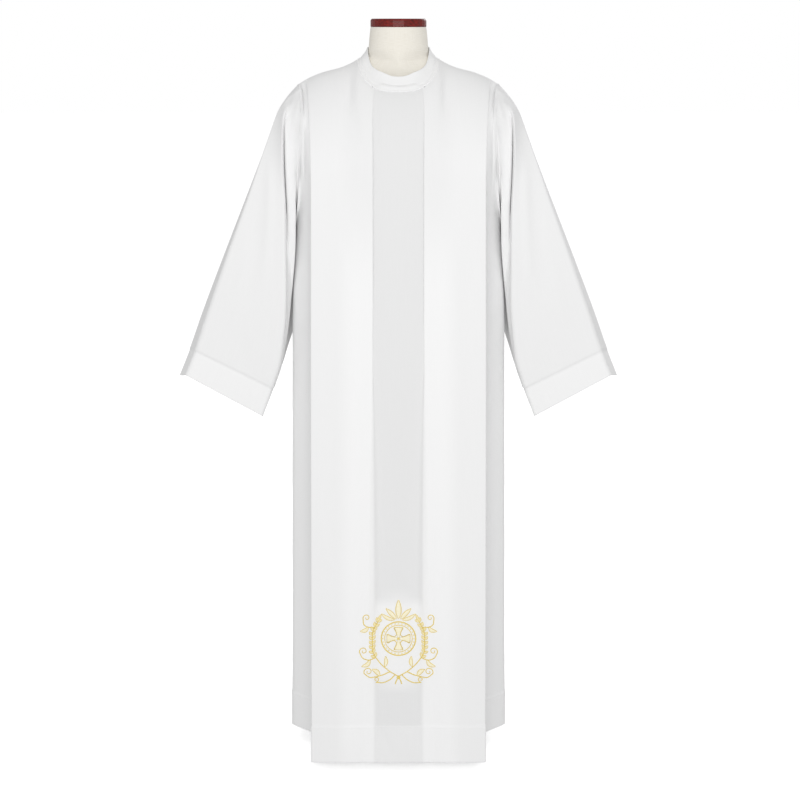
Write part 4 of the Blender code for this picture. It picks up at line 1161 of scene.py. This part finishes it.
def stroke(path, half_width, closed=False):
    """One satin-stitched stroke along a path: half round above, sunk a little into the cloth
    below. Result: its flat places, heights and cut places, rings x STROKE_ROUND, and closed."""
    if closed:
        ahead = np.roll(path, -1, axis=0) - np.roll(path, 1, axis=0)
    else:
        ahead = np.gradient(path, axis=0)
    ahead = ahead / np.maximum(np.linalg.norm(ahead, axis=1, keepdims=True), 1e-9)
    turn = round_turns(STROKE_ROUND)
    width = np.broadcast_to(half_width, len(path))[:, None]
    across = width * np.cos(turn)
    flat = path[:, None] + beside(ahead)[:, None] * across[..., None]
    height = STITCH_HEIGHT * np.minimum(1, width / (STITCH_FULL * STITCH_HEIGHT))
    lift = height * np.where(np.sin(turn) > 0, np.sin(turn), STITCH_SUNK * np.sin(turn))
    cut = np.stack(np.broadcast_arrays(distance_along(path)[:, None], across), axis=-1)
    return flat, lift, cut, closed


def leaf(path, half_width, line):
    """A leaf, petal or grain, which swells and narrows again along its path, and the line
    stitched round it."""
    t = np.linspace(0, 1, len(path)) ** LEAF_SHAPE["rise"]
    bow = np.sin(math.pi * np.clip(t, LEAF_SHAPE["tip"], 1 - LEAF_SHAPE["tip"]))
    width = half_width / 1000 * bow ** LEAF_SHAPE["swell"]
    aside = beside(unit(np.gradient(path, axis=0))) * width[:, None]
    edge = np.vstack([path + aside, (path - aside)[::-1]])
    return stroke(path, width), stroke(edge, line, closed=True)


def dot(centre, radius):
    """A round stitched bead: a short stroke as long as it is wide."""
    t = np.linspace(-1, 1, POINTS["dot"])
    path = np.array(centre) / 1000 + np.stack([t * radius / 1000, 0 * t], axis=-1)
    return stroke(path, radius / 1000 * np.sqrt(np.clip(1 - t * t, 0.02, 1)))


FACING_OUT = [0, 3, 2, 1]   # the corners of a tube's cells, the other way round than a sheet's


def tube_faces(rings, around, closed):
    """Faces of a tube; an open one's ends are zipped shut across their ring."""
    index = wrapped(np.arange(rings * around).reshape(rings, around), True)
    if closed:
        return corners_of(np.vstack([index, index[:1]]))[:, FACING_OUT]
    i = np.arange(around // 2 - 1)
    cap = np.stack([i, i + 1, around - 2 - i, around - 1 - i], axis=-1)
    return np.vstack([corners_of(index)[:, FACING_OUT], cap[:, ::-1], cap + (rings - 1) * around])


def embroidered(name, strokes, face, finish):
    """All strokes of one thread as one piece."""
    points, faces, cuts, start = [], [], [], 0
    for flat, lift, cut, closed in strokes:
        points.append(face.lay(flat, lift).reshape(-1, 3))
        cells = tube_faces(*lift.shape, closed)
        faces.append(cells + start)
        cuts.append(cut.reshape(-1, 2)[cells])
        start += lift.size
    return surface(name, np.vstack(points), np.vstack(faces), finish, np.vstack(cuts))


# The motif, in millimetres from its centre. The half widths of its lines are in metres.
LINE = {"cross": 0.0009, "stem": 0.0011, "grain": 0.0005, "leaf": 0.0007, "tail": 0.0012,
        "tendril": (0.0012, 0.0007)}
MIDDLE = (0, 7)             # of the ring and the cross
RING_LINES = (
    # radius, points, half width of the line
    (37.5, 96, 0.0014),
    (30.0, 80, 0.0008),
)
BEADS = {"count": 28, "ring": 33.8, "radius": 1.7}
BOSS_RADIUS = 3.6           # at the cross's middle
EAR_PATH = ((0, -78), (20, -66), (43, -44), (57, -14), (57, 18), (44, 48))
EAR_POINTS = 60
EAR_GRAINS = {"pairs": 9, "from": 0.44, "to": 0.97, "root": 1.4, "length": 11.5, "half_width": 2.7,
              "splay": 34}
EAR_TIP = (-1.0, 14.0)      # the last grain, along the stem from its end
TENDRILS = (
    # path to the spiral, its centre, radius, start and sweep in degrees
    (((18, -67), (40, -76), (60, -78), (75, -68)), (66.0, -64.2), 9.8, -23, 430),
    (((49, -34), (64, -38), (78, -33), (85, -20)), (76.2, -17.5), 9.0, -15, 420),
    (((52, 34), (66, 36), (76, 44), (77, 55)), (69.2, 57.0), 8.0, -13, 410),
    (((8, -75), (20, -86), (36, -92), (50, -90)), (49.0, -83.4), 6.6, -80, -400),
)
LEAVES = (
    # from, bend, to, half width
    ((41, -76), (48, -66), (57, -60), 4.2),
    ((62, -38), (68, -48), (80, -52), 4.2),
    ((66, 36), (72, 29), (83, 27), 3.8),
    ((30, -56), (27, -45), (28, -33), 3.6),
)
CROSS_ARM = (
    # distance along an arm, half width
    (2.5, 2.6), (9.0, 3.6), (16.0, 5.8), (22.0, 9.2), (23.6, 9.6), (25.0, 8.8),
)
PETALS = (
    # from, bend, to, half width
    ((0, 52), (0, 70), (0, 93), 6.2),
    ((5, 51), (13, 60), (27, 74), 4.4),
    ((9, 49), (22, 52), (37, 62), 3.6),
)
TIE = {"at": (0, -80), "radius": 4.2, "tails": (((-5, -88), (-7, -95)), ((5, -88), (7, -95)))}


def cross():
    """The strokes of a cross's arms, and the path of the line round them."""
    reach, half = np.array(CROSS_ARM, float).T[..., None]
    fine = np.linspace(reach[0, 0], reach[-1, 0], POINTS["arm"])
    width = np.interp(fine, reach[:, 0], half[:, 0]) / 1000
    arms, rim = [], []
    for turn in round_turns(4):
        way = compass(turn)
        side = np.array((-way[1], way[0]))
        arms.append(stroke((np.array(MIDDLE) + way * fine[:, None]) / 1000, width))
        right = np.array(MIDDLE) + way * reach - side * half
        left = np.array(MIDDLE) + way * reach[::-1] + side * half[::-1]
        rim += [*right[1:], *left[:-1]]
    return arms, np.repeat(np.array(rim) / 1000, 2, axis=0)


def ear_grains(stem):
    """The paths of an ear's grains: in pairs up its stem, splayed to both sides, and one on top."""
    ahead = unit(np.gradient(stem, axis=0))
    shares = np.linspace(EAR_GRAINS["from"], EAR_GRAINS["to"], EAR_GRAINS["pairs"])
    at, known = shares * (EAR_POINTS - 1), np.arange(EAR_POINTS)
    splay = math.radians(EAR_GRAINS["splay"])
    reach, top = (np.linspace(*ends, POINTS["grain"])[:, None] / 1000
                  for ends in ((EAR_GRAINS["root"], EAR_GRAINS["length"]), EAR_TIP))
    paths = []
    for root, way in zip(values_at(at, known, stem), unit(values_at(at, known, ahead))):
        turn = math.atan2(way[1], way[0])
        paths += [root + compass(turn + bend) * reach for bend in (-splay, splay)]
    return paths + [stem[-1] + ahead[-1] * top]


def embroidery():
    """A cross in a beaded ring between two ears of wheat, with tendrils and three petals on top.
    Result: the strokes in gold, in pale gold and in cream."""
    gold, pale, cream = [], [], []

    def add_leaf(fills, path, half_width, line):
        fill, edge = leaf(path, half_width, line)
        fills.append(fill)
        gold.append(edge)

    gold += [stroke(circle(MIDDLE, radius, count), line, closed=True)
             for radius, count, line in RING_LINES]
    pale += [dot(np.array(MIDDLE) + BEADS["ring"] * compass(turn), BEADS["radius"])
             for turn in round_turns(BEADS["count"])]
    arms, rim = cross()
    cream += arms
    gold += [stroke(rim, LINE["cross"], closed=True), dot(MIDDLE, BOSS_RADIUS)]
    for flip in (lambda path: path, mirrored):
        stem = curve(EAR_PATH, EAR_POINTS)
        gold.append(stroke(flip(stem), LINE["stem"]))
        for path in ear_grains(stem):
            add_leaf(pale, flip(path), EAR_GRAINS["half_width"], LINE["grain"])
        for way_in, centre, radius, start, sweep in TENDRILS:
            end = spiral(centre, radius, start, sweep, POINTS["spiral"])
            path = np.vstack([curve(way_in, POINTS["tendril"]), end[1:]])
            gold.append(stroke(flip(path), np.linspace(*LINE["tendril"], len(path))))
        for begin, bend, end, width in LEAVES + PETALS[1:]:
            path = curve((begin, bend, end), POINTS["leaf"])
            add_leaf(cream, flip(path), width, LINE["leaf"])
    begin, bend, end, width = PETALS[0]
    add_leaf(cream, curve((begin, bend, end), POINTS["petal"]), width, LINE["leaf"])
    gold.append(dot(TIE["at"], TIE["radius"]))
    gold += [stroke(curve((TIE["at"], *tail), POINTS["tail"]), LINE["tail"])
             for tail in TIE["tails"]]
    return gold, pale, cream


SEWN = {"pitch": 0.0030, "length": 0.0023, "thick": 0.00022, "proud": 0.00010}
SEWN_RINGS = (
    # place along the stitch in lengths; half width and height in thicknesses
    (-0.50, 0.25, -1.2),
    (-0.25, 1.00, 0.0),
    (0.25, 1.00, 0.0),
    (0.50, 0.25, -1.2),
)
SEWN_ROUND = 4              # points round a ring
SEAM_POINTS = 80            # along half an armhole


def sewn_line(path, normals):
    """Small stitches along a line on the cloth: spindles, stitches x rings x points x 3."""
    step = np.linalg.norm(np.diff(path, axis=0), axis=1)
    along = distance_along(path)
    at = np.arange(SEWN["pitch"] / 2, along[-1], SEWN["pitch"])
    place = values_at(at, along, path)
    ahead = unit(values_at(at, along[:-1] + step / 2, np.diff(path, axis=0) / step[:, None]))
    up = unit(values_at(at, along, normals))
    aside = np.cross(ahead, up)
    reach, girth, rise = np.array(SEWN_RINGS).T[..., None]
    girth, rise = girth * SEWN["thick"], rise * SEWN["thick"] + SEWN["proud"]
    turn = round_turns(SEWN_ROUND) + math.pi / 4
    parts = ((ahead, reach * SEWN["length"] + 0 * turn), (up, rise + girth * np.sin(turn)),
             (aside, girth * np.cos(turn)))
    return place[:, None, None] + sum(way[:, None, None] * off[..., None] for way, off in parts)


def sewing(name, lines, finish):
    """All stitches of the garment as one piece."""
    stitches = np.concatenate([sewn_line(*line) for line in lines])
    faces = tube_faces(len(SEWN_RINGS), SEWN_ROUND, False)
    starts = np.arange(len(stitches))[:, None, None] * len(SEWN_RINGS) * SEWN_ROUND
    return surface(name, stitches.reshape(-1, 3), (starts + faces).reshape(-1, 4), finish)


def row_line(grid, row, ring=False):
    """One row of a grid as a path, with the outward normals along it."""
    return [wrapped(values, ring)[row] for values in (grid, grid_normals(grid, ring))]


def armhole_ring():
    """The armhole seam right round, down in front and up behind."""
    down, up = (armhole_point(np.linspace(*ends, SEAM_POINTS, endpoint=False))
                for ends in ((0, math.pi), (math.pi, 0)))
    return np.concatenate([down, up * (1, -1, 1)])


def ridge(path, ref, half_width):
    """A closed tube along a closed path: the roll of a felled seam. Its rings stand across the
    path and are turned by the reference direction."""
    ahead = unit(np.roll(path, -1, axis=0) - np.roll(path, 1, axis=0))
    side = unit(np.cross(ahead, ref))
    up = np.cross(side, ahead)
    turn = round_turns(STROKE_ROUND)[:, None]
    return path[:, None] + half_width * (side[:, None] * np.cos(turn) + up[:, None] * np.sin(turn))


# ==== build =====================================================================================
CLOTH_FINISH = alb_cloth()
THREAD = sewing_thread()
LINEN = form_linen()
WOOD = mahogany()
STEEL = black_steel()
GOLD = satin_stitch("gold rayon satin stitch", "#DDBB45", "#F2DC7C")
PALE_GOLD = satin_stitch("pale gold rayon satin stitch", "#EFDD98", "#FBF0C4")
CREAM = satin_stitch("cream rayon satin stitch", "#F6EAC0", "#FFFAE2")

front = gathered(body_surface(body_grid(FRONT_CUT), FRONT_FOLDS))
back = gathered(body_surface((body_grid(BACK_CUT) * (1, -1, 1))[:, ::-1], BACK_FOLDS))
left_sleeve = gathered(folded_sleeve(sleeve_grid(), 0.0))
right_sleeve = gathered(folded_sleeve(sleeve_grid()[:, ::-1] * (-1, 1, 1),
                                      RIGHT_SLEEVE_FOLDS_MOVE))
collar = collar_grid()

for node, grid, ring in (("front", front, False), ("back", back, False),
                         ("sleeve_left", left_sleeve, True), ("sleeve_right", right_sleeve, True),
                         ("collar", collar, True)):
    obj = sheet_grid("alb_" + node, grid, CLOTH_FINISH, ring=ring,
                     values={"doubling_and_shade": layers_of(grid, node)},
                     wall=COLLAR_CLOTH if node == "collar" else CLOTH)
    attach(obj, "root")
    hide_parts(node)
    width, length, area = flat_size(grid, ring)

face = PanelFace(front)
for name, strokes, finish in zip(("embroidery_gold", "embroidery_pale_gold", "embroidery_cream"),
                                 embroidery(), (GOLD, PALE_GOLD, CREAM)):
    obj = embroidered(name, strokes, face, finish)
    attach(obj, "root")

rings = [ridge(gathered(armhole_ring()), (1, 0, 0), ARMHOLE_RIDGE),
         ridge(gathered(armhole_ring() * (-1, 1, 1)), (1, 0, 0), ARMHOLE_RIDGE),
         ridge(collar[0], (0, 0, 1), NECK_RIDGE)]
cells = [tube_faces(len(ring), STROKE_ROUND, True) for ring in rings]
starts = np.cumsum([0] + [len(ring) * STROKE_ROUND for ring in rings[:-1]])
faces = np.vstack([cell + start for cell, start in zip(cells, starts)])
points = np.concatenate([ring.reshape(-1, 3) for ring in rings])
# the seams' tone carries the same painted shade beside the armpit
obj = surface("felled_seams", points, faces, CLOTH_FINISH, points[faces][..., [0, 2]],
              {"doubling_and_shade": with_armpit_shade(np.full(len(points), SEAM_LAYERS), points)})
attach(obj, "root")

lines = [row_line(front, -HEM_ROWS), row_line(back, -HEM_ROWS),
         row_line(left_sleeve, 1 - CUFF_ROWS, ring=True),
         row_line(right_sleeve, 1 - CUFF_ROWS, ring=True)]
obj = sewing("sewn_lines", lines, THREAD)
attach(obj, "root")

form = sheet_grid("form_linen_cover", form_grid(), LINEN, ring=True)
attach(form, "root")
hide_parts("form_body")

for node, finish in (("neck_cap", WOOD), ("form_flange", STEEL), ("stand_pole", STEEL),
                     ("stand_base", STEEL)):
    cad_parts[node].data.materials.clear()
    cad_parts[node].data.materials.append(finish)

# ==== studio ====================================================================================
CAMERA = {"place": (0.0033, -4.01, 1.61), "pitch": 11.5625, "lens": 82.70, "sensor": 36}
LIGHTS = (
    # name, place, aim, width and height, power in watts
    ("front softbox", (0, -4.4, 2.2), (0, 0, 1.1), (2.4, 1.6), 93),
    ("rear softbox", (1.6, 4.2, 2.6), (0, 0, 1.0), (2.4, 1.6), 55),
)
FILL = 0.56                 # the room's light on everything; the camera sees it as white
FLOOR_GLOW = 0.60
FLOOR_REACH = 30


def placed(name, data):
    obj = bpy.data.objects.new(name, data)
    bpy.context.scene.collection.objects.link(obj)
    return obj


camera = placed("camera", bpy.data.cameras.new("camera"))
camera.data.lens = CAMERA["lens"]
camera.data.sensor_width = CAMERA["sensor"]
camera.location = CAMERA["place"]
camera.rotation_euler = (math.radians(90 - CAMERA["pitch"]), 0, 0)
bpy.context.scene.camera = camera

for name, place, aim, (width, height), power in LIGHTS:
    light = bpy.data.lights.new(name, "AREA")
    light.shape, light.size, light.size_y, light.energy = "RECTANGLE", width, height, power
    obj = placed(name, light)
    obj.location = place
    way = unit(np.array(aim, float) - np.array(place, float))
    obj.rotation_euler = (math.acos(-way[2]), 0, math.atan2(-way[0], way[1]))

world = bpy.data.worlds.new("studio")
bpy.context.scene.world = world
world.use_nodes = True
sky = world.node_tree
sky.nodes.clear()
seen, fill = (add(sky, "ShaderNodeBackground", {"Color": (1, 1, 1, 1), "Strength": strength})
              for strength in (1.0, FILL))
path = add(sky, "ShaderNodeLightPath")
both = add(sky, "ShaderNodeMixShader",
           {0: path.outputs["Is Camera Ray"], 1: fill.outputs[0], 2: seen.outputs[0]})
add(sky, "ShaderNodeOutputWorld", {0: both.outputs[0]})

floor_mesh = bpy.data.meshes.new("floor")
corners = [(x * FLOOR_REACH, y * FLOOR_REACH, 0) for x, y in ((-1, -1), (1, -1), (1, 1), (-1, 1))]
floor_mesh.from_pydata(corners, [], [(0, 1, 2, 3)])
floor = placed("floor", floor_mesh)
paper, _, paper_shader = new_material("white paper floor", Roughness=0.9)
paper_shader.inputs["Base Color"].default_value = linear("#F2F2F2")
paper_shader.inputs["Emission Color"].default_value = (1, 1, 1, 1)
paper_shader.inputs["Emission Strength"].default_value = FLOOR_GLOW
floor_mesh.materials.append(paper)
floor.visible_diffuse = False

bpy.context.scene.view_settings.view_transform = "Standard"
